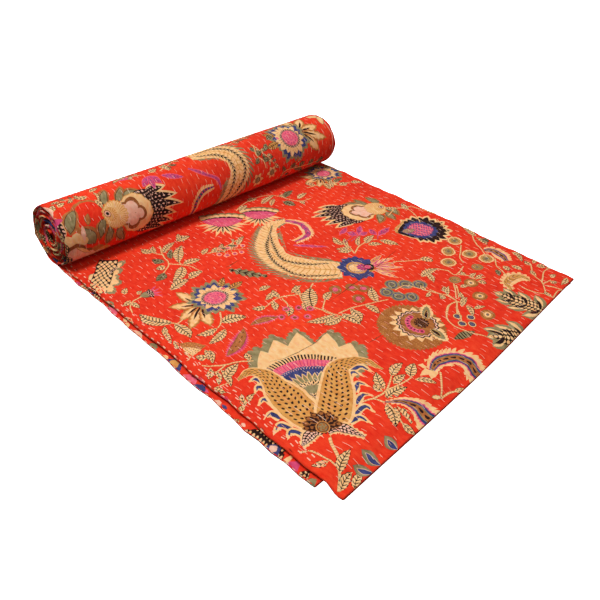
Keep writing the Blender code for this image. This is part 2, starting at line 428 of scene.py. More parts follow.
def makeCloth():
    acrossLines, alongLines = clothLines()
    bpy.ops.mesh.primitive_grid_add(
        x_subdivisions=len(acrossLines) - 1, y_subdivisions=len(alongLines) - 1, size=1.0
    )
    cloth = bpy.context.object
    cloth.name = "quilt_cloth"
    places = readAll(cloth.data.vertices, "co", 3)
    for axis, lines in enumerate((acrossLines, alongLines)):
        number = np.rint((places[:, axis] + 0.5) * (len(lines) - 1)).astype(int)
        places[:, axis] = np.array(lines)[number]
    moveTo(cloth, places)

    # finer where it shows: first across, then along
    bpy.ops.object.mode_set(mode="EDIT")
    bpy.ops.mesh.select_mode(type="EDGE")
    fine = cut["fineAcross"]
    for cells in (15, 9, 3, 2):
        middle, size = edgeFacts(cloth)
        wanted = isShown(middle) & (np.abs(size[:, 0] - cells * fine) < 0.0004) & (size[:, 1] < 1e-5)
        selectEdges(cloth, wanted)
        bpy.ops.mesh.subdivide(number_cuts=cells - 1, ngon=False)
    for low, high, cuts in ((0.016, 0.030, 3), (0.0085, 0.0130, 1)):
        middle, size = edgeFacts(cloth)
        wanted = isShown(middle) & (size[:, 1] > low) & (size[:, 1] < high) & (size[:, 0] < 1e-5)
        selectEdges(cloth, wanted)
        bpy.ops.mesh.subdivide(number_cuts=cuts, ngon=False)
    bpy.ops.object.mode_set(mode="OBJECT")
    return cloth


def giveThickness(cloth):
    modifier = cloth.modifiers.new("thickness", "SOLIDIFY")
    modifier.thickness = strip["cloth"]
    modifier.offset = 0.0
    bpy.ops.object.modifier_apply(modifier=modifier.name)


def hemTaper(rows, along):
    # share of the cloth's thickness near a hem, which is rounded
    across = rows * quilting["row"]
    inside = np.minimum(np.minimum(across, clothAcross - across), np.minimum(along, clothAlong - along))
    share = np.clip(inside / cut["roundedHem"], 0.0, 1.0)
    return cut["thinnestHem"] + (1 - cut["thinnestHem"]) * np.sqrt(1 - (1 - share) ** 2)


cloth = makeCloth()
giveThickness(cloth)
flat = readAll(cloth.data.vertices, "co", 3).astype(float)
flatRows = flat[:, 0] / quilting["row"]
flatAcross = rowPlace(flatRows, flat[:, 1])
skinSide = np.sign(flat[:, 2])
thickness = strip["cloth"] / 2 * hemTaper(flatRows, flat[:, 1])
dips = rowDip(flatRows, flat[:, 1])
lift = skinSide * np.maximum(thickness - np.where(skinSide > 0, dips, cut["backDip"] * dips), cut["least"])
moveTo(cloth, layOnStrip(flatAcross, flat[:, 1], lift))
bpy.ops.object.shade_smooth()
print("cloth folded and rolled:", len(cloth.data.vertices), "points")

# every mark is a leaf, a band or a disc on the flat cloth, and a flower is a stack of marks

inks = {
    "cream": (0.94, 0.57, 0.26),
    "pale": (0.93, 0.53, 0.38),
    "ochre": (0.74, 0.34, 0.085),
    "olive": (0.31, 0.245, 0.115),
    "brown": (0.33, 0.105, 0.030),
    "rust": (0.42, 0.14, 0.035),
    "navy": (0.050, 0.060, 0.185),
    "magenta": (0.68, 0.068, 0.180),
    "pink": (0.88, 0.150, 0.215),
    "black": (0.022, 0.008, 0.007),
    "grey": (0.17, 0.130, 0.100),
    "moss": (0.38, 0.245, 0.095),
    "tan": (0.50, 0.160, 0.045),
    "red": (0.88, 0.036, 0.012),
}

# how a filling repeats: weight ahead, weight across, slant, and whether either alone is enough
plain = (1.0, 1.0, 0.0, 0)
dots = (1.0, 1.0, 0.5, 0)
stripes = (1.0, 0.0, 0.0, 0)
rings = (0.0, 1.0, 0.0, 0)
veins = (1.0, 4.4, 2.2, 1)

leafShape, bandShape, discShape = 1, 2, 3
marks = []


class Spot:
    # A place on the flat cloth with a heading. Lengths from it are in millimetres, ahead and left.
    def __init__(self, across, along, heading, scale=1.0, mirror=1):
        self.across = across
        self.along = along
        self.scale = scale * 0.001
        self.mirror = mirror
        self.angle = math.radians(heading)

    def at(self, ahead, left):
        ahead, left = ahead * self.scale, left * self.mirror * self.scale
        cosine, sine = math.cos(self.angle), math.sin(self.angle)
        return self.across + ahead * cosine - left * sine, self.along + ahead * sine + left * cosine

    def moved(self, ahead, left, heading=0.0, scale=1.0):
        across, along = self.at(ahead, left)
        heading = math.degrees(self.angle) + heading * self.mirror
        return Spot(across, along, heading, self.scale * 1000 * scale, self.mirror)


face = {"width": 0.571, "leftOnTop": 0.2865, "rightOnRoll": 0.2845}  # between the folds, as it lies


def onTop(x, y, heading=0.0, scale=1.0, mirror=1):
    # x across the strip from its middle and y along it, in millimetres
    across = 3 * layerUnit + (x * 0.001 + face["leftOnTop"]) * layerRun / face["width"]
    return Spot(across, y * 0.001, heading, scale, mirror)


def onRoll(x, y, heading=0.0, scale=1.0, mirror=1):
    # the same on the roll's outer turn, where the cloth runs the other way
    across = (face["rightOnRoll"] - x * 0.001) * layerRun / face["width"]
    return Spot(across, y * 0.001, heading + 180, scale, mirror)


def towards(start, end):
    run, rise = end[0] - start[0], end[1] - start[1]
    return math.degrees(math.atan2(rise, run)), math.hypot(run, rise)


def addMark(shape, half, reach, bounds, colours, pattern, count=10, rows=1, size=0.3, edge=0.8, jag=0.0):
    fill, line, detail = colours
    weightAhead, weightAcross, slant, either = pattern
    if pattern is plain:
        size = -1.0
    elif pattern is veins:
        rows = 0.45
    if pattern is not dots:
        size = size / 2
    marks.append(
        {
            "shape": shape,
            "reach": reach,
            "bounds": bounds,
            "cover": half * jag + 0.0003,  # a face this far inside hides what is below
            "form": (round(count) if shape == discShape else count, edge * 0.001 / half, 2 * jag),
            "filling": (weightAhead, weightAcross, size),
            "rhythm": (rows, slant, either),
            "line": inks[line or fill],
            "fill": inks[fill],
            "detail": inks[detail],
        }
    )


def axesOf(spot, heading=0.0):
    angle = spot.angle + math.radians(heading) * spot.mirror
    ahead = np.array((math.cos(angle), math.sin(angle)))
    return ahead, np.array((-ahead[1], ahead[0])) * spot.mirror


def leaf(spot, start, heading, length, width, fill, line=None, detail="black", pattern=plain,
         belly=1.0, bend=0.0, **look):
    length, half = length * spot.scale, width * spot.scale / 2
    base = np.array(spot.at(*start))
    ahead, left = axesOf(spot, heading)

    def reach(points):
        off = points - base
        raw = off @ ahead / length
        side = off @ left - bend * length * 4 * raw * (1 - raw)
        place = np.where(raw > 0, np.abs(raw) ** belly, raw)
        depth = 4 * place * (1 - place) - np.abs(side) / half
        return place, side / half, depth * half

    bounds = (base + ahead * length / 2, length * (0.6 + abs(bend)) + half)
    addMark(leafShape, half, reach, bounds, (fill, line, detail), pattern, **{"count": 8, **look})


def leafTo(spot, start, end, width, *colours, share=1.0, longer=0.0, **look):
    heading, length = towards(start, end)
    leaf(spot, start, heading, length * share + longer, width, *colours, **look)


def disc(spot, centre, radius, fill, line=None, detail="black", pattern=plain, squash=1.0, **look):
    radius = radius * spot.scale
    middle = np.array(spot.at(*centre))
    ahead, left = axesOf(spot)

    def reach(points):
        off = points - middle
        u, v = off @ ahead / radius, off @ left / (radius * squash)
        return u, v, (1 - np.hypot(u, v)) * radius * min(squash, 1)

    bounds = (middle, radius * max(squash, 1))
    addMark(discShape, radius, reach, bounds, (fill, line, detail), pattern, **{"count": 12, **look})


def fan(spot, centre, inner, outer, halfAngle, fill, line=None, detail="black", pattern=plain,
        heading=0.0, **look):
    # part of a ring, whose pattern runs outwards
    inner, outer = inner * spot.scale, outer * spot.scale
    middle = np.array(spot.at(*centre))
    facing = spot.angle + math.radians(heading) * spot.mirror
    halfAngle = math.radians(halfAngle)
    half = (inner + outer) / 2 * halfAngle

    def reach(points):
        off = points - middle
        away = np.hypot(off[:, 0], off[:, 1])
        turn = np.arctan2(off[:, 1], off[:, 0]) - facing
        turn = np.angle(np.exp(1j * turn))
        u, v = (away - inner) / (outer - inner), turn / halfAngle
        depth = np.minimum((1 - np.abs(v)) * away * halfAngle, (0.5 - np.abs(u - 0.5)) * (outer - inner))
        return u, v, depth

    addMark(bandShape, half, reach, (middle, outer), (fill, line, detail), pattern, **{"edge": 0.0, **look})


def curveThrough(points):
    steps = 7
    points = [np.array(point, float) for point in points]
    points = [2 * points[0] - points[1], *points, 2 * points[-1] - points[-2]]
    line = []
    for a, b, c, d in zip(points, points[1:], points[2:], points[3:]):
        for step in range(steps):
            t = step / steps
            line.append(0.5 * (2 * b + (c - a) * t + (2 * a - 5 * b + 4 * c - d) * t**2
                               + (3 * b - a - 3 * c + d) * t**3))
    line.append(points[-2])
    return np.array(line)


def band(spot, points, widths, fill, line=None, detail="black", pattern=plain, share=1.0, **look):
    path = np.array([spot.at(*point) for point in curveThrough(points)])
    steps = np.diff(path, axis=0)
    lengths = np.linalg.norm(steps, axis=1)
    starts = np.concatenate(((0.0,), np.cumsum(lengths)))
    total = starts[-1]
    halves = np.interp(starts / total, np.linspace(0, 1, len(widths)), widths) * spot.scale / 2

    def reach(places):
        best = np.full(len(places), 1e9)
        u, v, half = np.zeros(len(places)), np.zeros(len(places)), np.ones(len(places))
        for number, (step, length) in enumerate(zip(steps, lengths)):
            off = places - path[number]
            raw = off @ step / length**2
            low = -9.0 if number == 0 else 0.0
            high = 9.0 if number == len(steps) - 1 else 1.0
            held = np.clip(raw, low, high)
            away = np.linalg.norm(off - held[:, None] * step, axis=1)
            beyond = np.abs(np.clip(raw, 0, 1) - raw) * length
            far = np.hypot(away, beyond)
            nearer = far < best
            side = (step[0] * off[:, 1] - step[1] * off[:, 0]) / length * spot.mirror
            best = np.where(nearer, far, best)
            u = np.where(nearer, (starts[number] + raw * length) / total, u)
            v = np.where(nearer, np.sign(side) * away, v)
            half = np.where(nearer, np.interp(held, (0, 1), halves[number : number + 2]), half)
        v = v / half / share
        return u, v, (1 - np.abs(v)) * half * share - np.clip(np.maximum(-u, u - 1), 0, None) * total

    middle = (path.min(axis=0) + path.max(axis=0)) / 2
    bounds = (middle, np.linalg.norm(path - middle, axis=1).max() + halves.max())
    half = float(np.mean(halves)) * share
    addMark(bandShape, half, reach, bounds, (fill, line, detail), pattern, **{"edge": 0.5, **look})


def pathLength(path):
    return sum(math.dist(a, b) for a, b in zip(path, path[1:]))


def alongPath(path, widths, step):
    # points along a path with the way ahead and half the width there
    line = curveThrough(path)
    lengths = np.concatenate(((0.0,), np.cumsum(np.linalg.norm(np.diff(line, axis=0), axis=1))))

    def at(far):
        return np.array([np.interp(far, lengths, line[:, axis]) for axis in (0, 1)])

    for number in range(int(lengths[-1] / step)):
        far = (number + 0.5) * step
        heading = math.degrees(math.atan2(*(at(far + 1.0) - at(far - 1.0))[::-1]))
        half = np.interp(far / lengths[-1], np.linspace(0, 1, len(widths)), widths) / 2
        yield at(far), heading, half


def barbs(spot, path, widths, step, lean, length, width, fill, inset):
    for place, heading, half in alongPath(path, widths, step):
        for side in (-1, 1):
            turn = math.radians(heading + 90 * side)
            start = place + half * inset * np.array((math.cos(turn), math.sin(turn)))
            leaf(spot, tuple(start), heading + lean * side, half * length, width, fill, belly=0.8)


def veined(spot, start, heading, length, width, fill="cream", bend=0.0):
    leaf(spot, start, heading, length, width + 0.6, fill, "black", "black", veins, belly=0.85, bend=bend,
         count=max(3, length / 4.8), size=0.32, edge=0.60)


def veinedTo(spot, start, end, width, fill="cream"):
    # a dark leaf shows as a thin outline round the one on it
    heading, length = towards(start, end)
    look = {"belly": 0.85, "bend": 0.08, "jag": 0.10 + 0.004 * ((start[0] * 3 + start[1]) % 25)}
    leaf(spot, start, heading, length + 1, width + 1.4, "black", count=length / 6, **look)
    leaf(spot, start, heading, length, width - 0.2, fill, None, "black", veins,
         count=max(3, length / 4.8), size=0.30, **look)


def veinedRows(spot, rows, fill="cream"):
    # a row is where a leaf starts and ends, each across and along, and its width
    for x, y, toX, toY, width in rows:
        veinedTo(spot, (x, y), (toX, toY), width, fill)


def stem(spot, points, width=2.0, fill="cream"):
    band(spot, points, (width * 1.25, width), fill, "brown", "brown", stripes,
         count=pathLength(points) / 4.0, size=0.12, edge=0.25)


def spray(base, start, end, pairs, curl=0.2):
    # a curved twig with leaves on both sides, cream and olive
    heading, length = towards(start, end)
    spot = base.moved(*start, heading)
    leafLength, plump = 15, 0.44
    kinds = ("cream", "cream", "olive")
    path = [(length * t, curl * length * t * t) for t in (0.0, 0.35, 0.7, 1.0)]
    stem(spot, path, 1.7)
    for number in range(pairs):
        t = 0.22 + 0.72 * number / max(pairs - 0.5, 1)
        place = (length * t, curl * length * t * t)
        lean = math.degrees(math.atan(2 * curl * t))
        side = 1 if number % 2 else -1
        size = leafLength * (1.0 - 0.25 * t) * (0.88 + 0.24 * ((number * 7) % 5) / 4)
        veined(spot, place, lean + side * (52 - 10 * t), size, size * plump, kinds[number % 3], 0.10 * side)
        if number % 3 == 1:
            veined(spot, place, lean - side * 60, size * 0.7, size * plump * 0.7, kinds[(number + 1) % 3],
                   -0.1 * side)
    veined(spot, path[-1], math.degrees(math.atan(2 * curl)), leafLength, leafLength * plump, kinds[0])


def berry(spot, place, radius, ring="cream", middle="moss"):
    for share, ink, line, edge, jag in (
        (1.0, ring, "brown", 0.4, 0.05), (0.72, "ochre", "brown", 1.1, 0), (0.50, middle, "black", 0.5, 0),
        (0.22, "grey", "brown", 0.5, 0),
    ):
        disc(spot, place, radius * share, ink, line, squash=0.88, edge=edge, jag=jag)


def palmette(spot):
    # a large tulip: a pointed crown, a fan, and two spotted lobes with hooks on a dark ruff
    for ahead, left in ((151, 65), (176, 39), (185, 3), (179, -46), (150, -76)):
        for slip in (-9, 0, 9):
            tip = (ahead - abs(slip) * 0.9, left + slip)
            leafTo(spot, (58, left * 0.3), tip, 46, "olive", jag=0.14, count=17, belly=1.1)
    for ahead, left in ((138, 57), (159, 36), (172, 2), (167, -38), (144, -66)):
        leafTo(spot, (56, left * 0.3), (ahead, left), 46, "cream", belly=1.1)
    apex = (43, -2)
    fan(spot, apex, 0, 92, 44, "cream", heading=4)
    fan(spot, apex, 71, 83, 42, "cream", None, "black", rings, rows=13, size=0.5, heading=5)
    fan(spot, apex, 59, 74, 44, "pink", "magenta", "magenta", rings, rows=11, size=0.3, heading=5)
    fan(spot, apex, 55, 61.5, 44, "navy", "navy", "pale", dots, count=1, rows=24, size=0.26, heading=5)
    fan(spot, apex, 40, 57, 44, "navy", heading=5)
    for number in range(9):
        size = 53 - 3 * (number % 2)
        leaf(spot, apex, -34 + 9.4 * number, size, 8.4, "olive", "cream", edge=1.2, belly=1.7)
    fan(spot, apex, 27, 34, 40, "cream", "black", "black", dots, count=1, rows=7, size=0.34, edge=0.8,
        heading=5)
    fan(spot, apex, 13, 27, 40, "olive", heading=5)
    fan(spot, apex, 0, 14, 40, "cream", "black", "black", dots, count=3, rows=2.5, size=0.42, heading=5)
    for points in (
        ((77, 60), (86, 69), (81, 79)), ((62, 54), (73, 67), (59, 74)), ((38, 50), (51, 62), (40, 71)),
        ((19, 46), (27, 57), (18, 67)), ((1, 36), (9, 48), (-6, 58)), ((-11, 25), (-2, 36), (-17, 45)),
        ((92, -55), (97, -70), (84, -83)), ((76, -48), (88, -57), (78, -70)),
        ((52, -50), (68, -59), (59, -72)), ((33, -48), (46, -59), (43, -73)),
        ((16, -43), (28, -57), (16, -67)), ((4, -32), (11, -48), (-3, -58)),
    ):
        base, bulge, tip = points
        band(spot, points, (11, 11.5, 8, 1), "cream")
        inner = (base, bulge, ((bulge[0] + tip[0]) / 2, (bulge[1] + tip[1]) / 2))
        band(spot, inner, (4.0, 6.0, 1.0), "navy", "black", edge=0.35)
    for path, widths in (
        (((4, 6), (27, 19), (55, 37), (83, 51), (97, 62), (100, 76), (87, 91)),
         (38, 48, 53, 53, 43, 30, 21, 13, 3)),
        (((4, -7), (22, -18), (57, -29), (94, -38), (106, -55), (107, -77), (89, -96)),
         (38, 50, 49, 46, 41, 30, 18, 12, 3)),
    ):
        length = pathLength(path)
        band(spot, path, widths, "ochre", "cream", "rust", dots, count=length / 5.6, rows=3.9, size=0.22,
             edge=2.6)
        band(spot, path, [w * 0.84 for w in widths], "ochre", "ochre", "black", dots, count=length / 7.4,
             rows=2.9, size=0.25)
    for path, widths in (
        (((-6, 3), (-8, 15), (-27, 29)), (10, 16, 2)), (((-6, -4), (-3, -22), (-22, -44)), (10, 15, 2)),
    ):
        band(spot, path, [w + 7 for w in widths], "cream", jag=0.3, count=7)
        band(spot, path, widths, "black", "black", "pale", dots, count=9, rows=1.6, size=0.38, share=0.95)
    for heading in (-88, -60, -32, -6, 20, 46, 72, 96):
        leaf(spot, (2, 0), heading, 25, 13, "black", "brown", "rust", dots, count=4, size=0.36, edge=1.2)
    disc(spot, (1, 0), 12, "brown", "black", "black", stripes, count=15, size=0.5, jag=0.2, edge=0.5)
    disc(spot, (0, 0), 8.6, "brown", "ochre", edge=0.8)
    disc(spot, (0, 0), 6.6, "olive", "black", "rust", dots, count=5, rows=1.6, size=0.4, edge=0.6)


def plume(spot, path, widths, spines, tip):
    # a wide curved feather: olive and cream barbs with gaps, and two barbed black spines
    barbs(spot, path, widths, 5.8, 33, 0.86, 4.2, "olive", inset=0.54)
    band(spot, path, [w * 0.76 for w in widths], "olive", "rust", edge=0.9, jag=0.1, count=40)
    barbs(spot, path, widths, 5.2, 31, 0.44, 4.0, "cream", inset=0.48)
    band(spot, path, [w * 0.60 for w in widths], "cream", "cream", "ochre", veins,
         count=pathLength(path) / 8, size=0.22)
    for spine in spines:
        look = {"pattern": veins, "count": pathLength(spine) / 6.2}
        band(spot, spine, (5, 12, 12, 11, 4), "cream", detail="ochre", size=0.52, **look)
        band(spot, spine, (3, 7.5, 7.5, 7, 3), "cream", detail="black", size=0.56, **look)
    size = widths[-1]
    barbs(spot, tip, (size * 1.3, size * 1.9, size * 1.5, size), 4.6, 34, 0.9, 3.6, "cream", inset=0.5)
    band(spot, tip, (size, size * 1.2, size * 1.1, size * 0.3), "magenta", "cream", "navy", veins,
         count=7, size=0.16, edge=1.1, jag=0.2)


def rayFlower(spot, radius=30.0):
    # a flower with a jagged dark ruff, bright rings and long rays
    for number, heading in enumerate((-40, -24, -8, 6, 22, 40)):
        length = radius * (2.5 - 0.35 * (number % 2) - 0.006 * abs(heading))
        leaf(spot, (radius * 0.5, 0), heading, length, radius * 0.34,
             "ochre" if number % 2 else "cream", "cream", "magenta", veins, count=5, size=0.3, belly=1.25)
        leaf(spot, (radius * 0.8, 0), heading, length * 0.62, radius * 0.12, "magenta", "pink", edge=0.6)
    disc(spot, (0, 0), radius * 1.12, "ochre", jag=0.20, count=15)
    for number in range(13):
        turn = 38 + number * 22
        leaf(spot, (0, 0), turn, radius * (1.34 - 0.1 * (number % 2)), radius * 0.62, "navy", belly=1.5)
    disc(spot, (-2, 0), radius * 0.80, "navy")
    disc(spot, (-2, 0), radius * 0.66, "ochre", "brown", edge=0.7)
    disc(spot, (-2, 0), radius * 0.52, "pale", "black", "black", dots, count=26, rows=7, size=0.36, edge=0.6)
    disc(spot, (-4, 0), radius * 0.40, "cream", "brown", "ochre", dots, count=9, rows=3, size=0.22, edge=0.5)
    disc(spot, (radius * 0.30, 0), radius * 0.40, "magenta", "pink", "navy", stripes, count=9, size=0.3,
         jag=0.2)
    disc(spot, (radius * 0.72, 0), radius * 0.34, "black")
    disc(spot, (radius * 0.62, 0), radius * 0.26, "magenta", "black", "pink", rings, rows=2, size=0.4,
         edge=1.2)


def thistle(spot):
    # a ribbed round head, a pale heart in a collar, and a dark spotted ruff that ends in flames
    flames = ((-62, -36), (-79, -22), (-90, -8), (-79, 7), (-78, 22), (-66, 36))
    for ahead, left in flames:
        leafTo(spot, (-26, left * 0.7), (ahead, left), 18, "cream", longer=3, belly=0.62, bend=0.05)
    for start, tip, bend in (
        ((43, -13), (35, -42), 0.10), ((25, -18), (11, -42), -0.1), ((14, -20), (-16, -31), 0.12),
        ((50, 3), (58, 31), -0.1), ((44, 14), (46, 42), 0.1), ((27, 14), (13, 43), -0.12),
    ):
        leafTo(spot, start, tip, 18, "tan", "rust", longer=4, belly=0.9, bend=bend, edge=1.2)
        leafTo(spot, start, tip, 12.5, "olive", "black", edge=0.9, belly=0.9, bend=bend)
    disc(spot, (-22, 0), 34, "black", "black", "pale", dots, count=30, rows=5.5, size=0.26, edge=0.2)
    for ahead, left in flames:
        leafTo(spot, (-26, left * 0.7), (ahead, left), 13, "black", "black", "pale", dots, longer=-4,
               rows=1.3, size=0.22, belly=0.60, bend=0.05)
    disc(spot, (-4, 0), 30, "cream", "ochre", jag=0.05, edge=1.2)
    for ink, lobes in (
        ("brown", ((-11, 1, 11), (1, 12, 12), (1, -12, 12), (14, 0, 17))),
        ("pale", ((-10, 1, 7.4), (2, 9, 9.4), (2, -9, 9.4), (14, 0, 14))),
    ):
        for ahead, left, radius in lobes:
            disc(spot, (ahead, left), radius, ink)
    disc(spot, (31, -1), 21.5, "ochre", "ochre", jag=0.10, count=22)
    disc(spot, (30, -1), 19.5, "cream", "cream", "ochre", stripes, count=30, size=0.36, jag=0.08)
    disc(spot, (38, -2), 12, "ochre", "cream", "cream", stripes, count=18, size=0.3, jag=0.1)
    disc(spot, (43, -3), 5.4, "pale", "rust", edge=1.2)
    disc(spot, (43, -3), 2.4, "black")


def roundFlower(spot, radius=30.0):
    # a pink centre in a beaded ring, jagged cream and dark petals, on a star of long leaves
    size = radius / 27
    for heading, length in ((-77, 46), (-32, 44), (10, 46), (35, 56), (62, 50)):
        look = {"belly": 1.15, "jag": 0.16, "count": 6}
        turn, length = 180 + heading, length * size
        leaf(spot, (-25 * size, 0), turn, length, 19 * size, "tan", **look)
        leaf(spot, (-25 * size, 0), turn, length * 0.97, 14.5 * size, "cream", "ochre", edge=1.6, **look)
        leaf(spot, (-27 * size, 0), turn, length * 0.60, 3.8 * size, "black", "brown", edge=0.5)
    disc(spot, (-26 * size, 0), 7.5 * size, "tan")
    for ink, long, less, more, width, jag in (
        ("olive", 1.42, 0.14, 4, 0.46, 0.1), ("navy", 1.30, 0.12, 0, 0.38, 0.0),
    ):
        for number in range(21):
            length = radius * (long - less * (number % 3)) + more
            leaf(spot, (0, 0), number * 17.14 + 5, length, radius * width, ink, belly=1.9, jag=jag)
    disc(spot, (0, 0), radius * 0.98, "navy", jag=0.08, count=20)
    for number in range(15):
        length = radius * (1.10 - 0.14 * (number % 2))
        leaf(spot, (0, 0), number * 24 + 9, length, radius * 0.34, "cream", belly=1.8)
    disc(spot, (radius * 0.03, 0), radius * 0.80, "cream", "cream", "tan", stripes, count=26, size=0.16,
         jag=0.10)
    disc(spot, (-radius * 0.10, 0), radius * 0.70, "black", "black", "pale", dots, count=26, rows=9.5,
         size=0.34, edge=0.3, squash=0.88)
    disc(spot, (-radius * 0.10, 0), radius * 0.58, "pink", "black", "magenta", dots, rows=3, size=0.3,
         edge=0.6, squash=0.88)
    disc(spot, (radius * 0.72, radius * 0.34), radius * 0.10, "pink")
    veined(spot, (radius * 0.92, radius * 0.1), 4, radius * 1.0, radius * 0.42, "ochre")
    veined(spot, (radius * 0.75, radius * 0.55), 42, radius * 0.8, radius * 0.36, "ochre")


def scaleFlower(spot, size=1.0):
    # a heart-shaped flower in dark jagged petals, scaled inside
    spot = spot.moved(0, 0, 0, size)
    for part, ink, width in ((1.0, "cream", 19), (0.89, "black", 14)):
        for number in range(15):
            turn = -119 + 17 * number
            reach = 50 + 8 * math.cos(math.radians(turn)) - 4 * (number % 2)
            leaf(spot, (2, 0), turn, reach * part, width, ink, belly=1.45)
        leaf(spot, (-46 - 4 * part, 0), 0, 60, 66 * part, ink, belly=1.5)
    disc(spot, (2, 0), 34, "black", "black", "grey", dots, count=20, rows=5, size=0.2)
    disc(spot, (0, 0), 31, "navy", jag=0.12, count=14)
    leaf(spot, (-40, 0), 0, 66, 50, "navy", belly=1.3)
    leaf(spot, (-36, 0), 0, 62, 46, "pink", "magenta", "navy", dots, count=11, rows=4, size=0.30,
         belly=1.3, jag=0.15)
    leaf(spot, (-38, 0), 4, 30, 14, "olive", "black", "pink", dots, count=6, rows=2, size=0.25)
    stem(spot, ((-46, 0), (-40, 14), (-16, 34)), 4.0, "ochre")


def domeFlower(spot):
    # a wide speckled halo, cream scallops, a wavy ring and a brown dome with pink beads
    disc(spot, (12, 4), 54, "rust", "rust", "ochre", dots, count=50, rows=17, size=0.13, jag=0.06)
    disc(spot, (10, -4), 50, "rust", "rust", "ochre", dots, count=46, rows=17, size=0.13, jag=0.08)
    disc(spot, (0, 0), 43, "cream", jag=0.24, count=16)
    disc(spot, (-1, 0), 34, "black", "black", jag=0.10, count=20)
    disc(spot, (-1, 0), 31.5, "pale", "pale", jag=0.10, count=20)
    disc(spot, (-1, 0), 29, "rust", "black", edge=1.2, jag=0.08, count=20)
    for number in range(9):
        turn = math.radians(-72 + 18 * number)
        place = (-4 + 18.5 * math.cos(turn), 18.5 * math.sin(turn))
        disc(spot, place, 4.6, "magenta", "pink", edge=0.9)
        disc(spot, place, 1.5, "black")
    disc(spot, (-8, 0), 12.5, "black", "black", "brown", dots, count=12, rows=4, size=0.30, jag=0.15)
    for start, heading, length in (((-18, -4), -124, 44), ((-14, 16), 104, 38)):
        leaf(spot, start, heading, length, 24, "cream", jag=0.24, count=7, belly=0.9)
        leaf(spot, start, heading, length * 0.84, 15, "olive", jag=0.16, count=7, belly=0.9)
        leaf(spot, start, heading, length * 0.60, 6.5, "black", "ochre", edge=0.7)


def crescent(spot, path, widths):
    # a curved pod with spiky cream edges
    wide = [w * 1.45 for w in widths]
    for shift in (0.0, 0.5):
        barbs(spot, path, wide, 4.8 + shift, 46, 0.90, 5.0, "cream", 0.62 - shift * 0.2)
    band(spot, path, [w * 1.16 for w in widths], "cream")
    band(spot, path, [w * 1.0 for w in widths], "magenta", "pink", jag=0.14, count=16, edge=0.9)
    band(spot, path, [w * 0.74 for w in widths], "navy")
    band(spot, path, [w * 0.48 for w in widths], "tan", "olive", "black", dots,
         count=pathLength(path) / 11, rows=1, size=0.36, edge=1.0)


def scaledLeaf(spot, start, end, width):
    # lobed olive and cream edges round a black heart with cream scales
    heading, length = towards(start, end)
    spot = spot.moved(*start, heading)
    lobes = (0.10, 0.34, 0.58)
    for ink, part, wide in (("olive", 1.0, 1.0), ("cream", 0.80, 0.42)):
        leaf(spot, (0, 0), 0, length * (0.94 + 0.06 * part), width * 0.66 * wide, ink, jag=0.12, count=9)
        for number, t in enumerate(lobes):
            for side in (-1, 1):
                lean = side * (62 - 12 * number)
                size = width * (0.66 - 0.07 * number) * (0.8 + 0.2 * part)
                leaf(spot, (length * t, 0), lean, size, width * 0.34 * wide, ink, belly=0.9,
                     bend=0.1 * side, jag=0.1)
    leaf(spot, (-2, 0), 0, length * 0.90, width * 0.56, "black", "black", "cream", dots,
         count=length / 6.0, rows=2.2, size=0.40, edge=0.5, belly=0.85)
    for number, t in enumerate(lobes):
        for side in (-1, 1):
            lean, bend = side * (60 - 12 * number), 0.1 * side
            leaf(spot, (length * t, 0), lean, width * 0.40, width * 0.09, "black", belly=0.9, bend=bend)


def pinkLeaf(spot, start, end, width):
    length = towards(start, end)[1]
    jagged = {"count": length / 4, "bend": 0.08}
    spotted = {"share": 0.94, "count": length / 10, "bend": 0.08}
    leafTo(spot, start, end, width + 3, "pink", jag=0.34, **jagged)
    leafTo(spot, start, end, width, "magenta", "pink", jag=0.22, edge=1.0, **jagged)
    leafTo(spot, start, end, width * 0.60, "tan", "brown", "brown", dots, rows=1.0, size=0.34, **spotted)
    leafTo(spot, start, end, width * 0.22, "tan", "tan", "black", dots, rows=0.8, size=0.20, **spotted)


def halfFlower(spot, size=1.0):
    # a cream fan below, a pink bowl and a wavy crest
    spot = spot.moved(0, 0, 0, size)
    for number in range(11):
        heading = 180 - 80 + 16 * number
        leaf(spot, (-4, 0), heading, 40 - 7 * (number % 2), 7.4, "cream", belly=0.8, jag=0.2, count=4)
    for number in range(7):
        leaf(spot, (-8, 0), 180 - 66 + 22 * number, 24, 2.4, "black")
    fan(spot, (15, 0), 0, 30, 84, "magenta", "brown", "pink", rings, rows=11, size=0.34, heading=180)
    fan(spot, (12, 0), 14, 25, 46, "pink", "pink", "magenta", rings, rows=7, size=0.3, heading=180)
    for ink, line, radius, drop in (("olive", "black", 7.0, 0), ("cream", "ochre", 5.8, 3)):
        for number in range(7):
            aside = 9 * (number - 3)
            disc(spot, (20 - drop - aside * aside / 140, aside), radius, ink, line, edge=0.8)
    band(spot, ((6, -29), (12, -12), (12, 12), (6, 29)), (3, 5, 5, 3), "black", "black", jag=0.4, count=9)


def budSpray(spot, length, buds):
    stem(spot, ((0, 0), (length * 0.5, length * 0.06), (length, 0)), 1.4)
    for number in range(buds):
        t = 0.22 + 0.78 * number / buds
        side = 1 if number % 2 else -1
        place = (length * (t + 0.06), side * (8 + 2 * (number % 3)))
        stem(spot, ((length * t, 0), place), 1.2)
        disc(spot, place, 4.4, "pink", "cream", edge=0.9)
        disc(spot, place, 1.7, "magenta", "black", edge=0.4)


def curlPlume(spot, path, width):
    # a narrow curling leaf with a dark middle and feathery cream edges
    widths = [width * part for part in (0.6, 1.0, 1.0, 0.4)]
    barbs(spot, path, widths, 4.6, 40, 0.95, 3.6, "cream", inset=0.35)
    band(spot, path, [w * 0.55 for w in widths], "cream")
    band(spot, path, [w * 0.34 for w in widths], "navy", "brown", "magenta", stripes,
         count=pathLength(path) / 6, size=0.4)


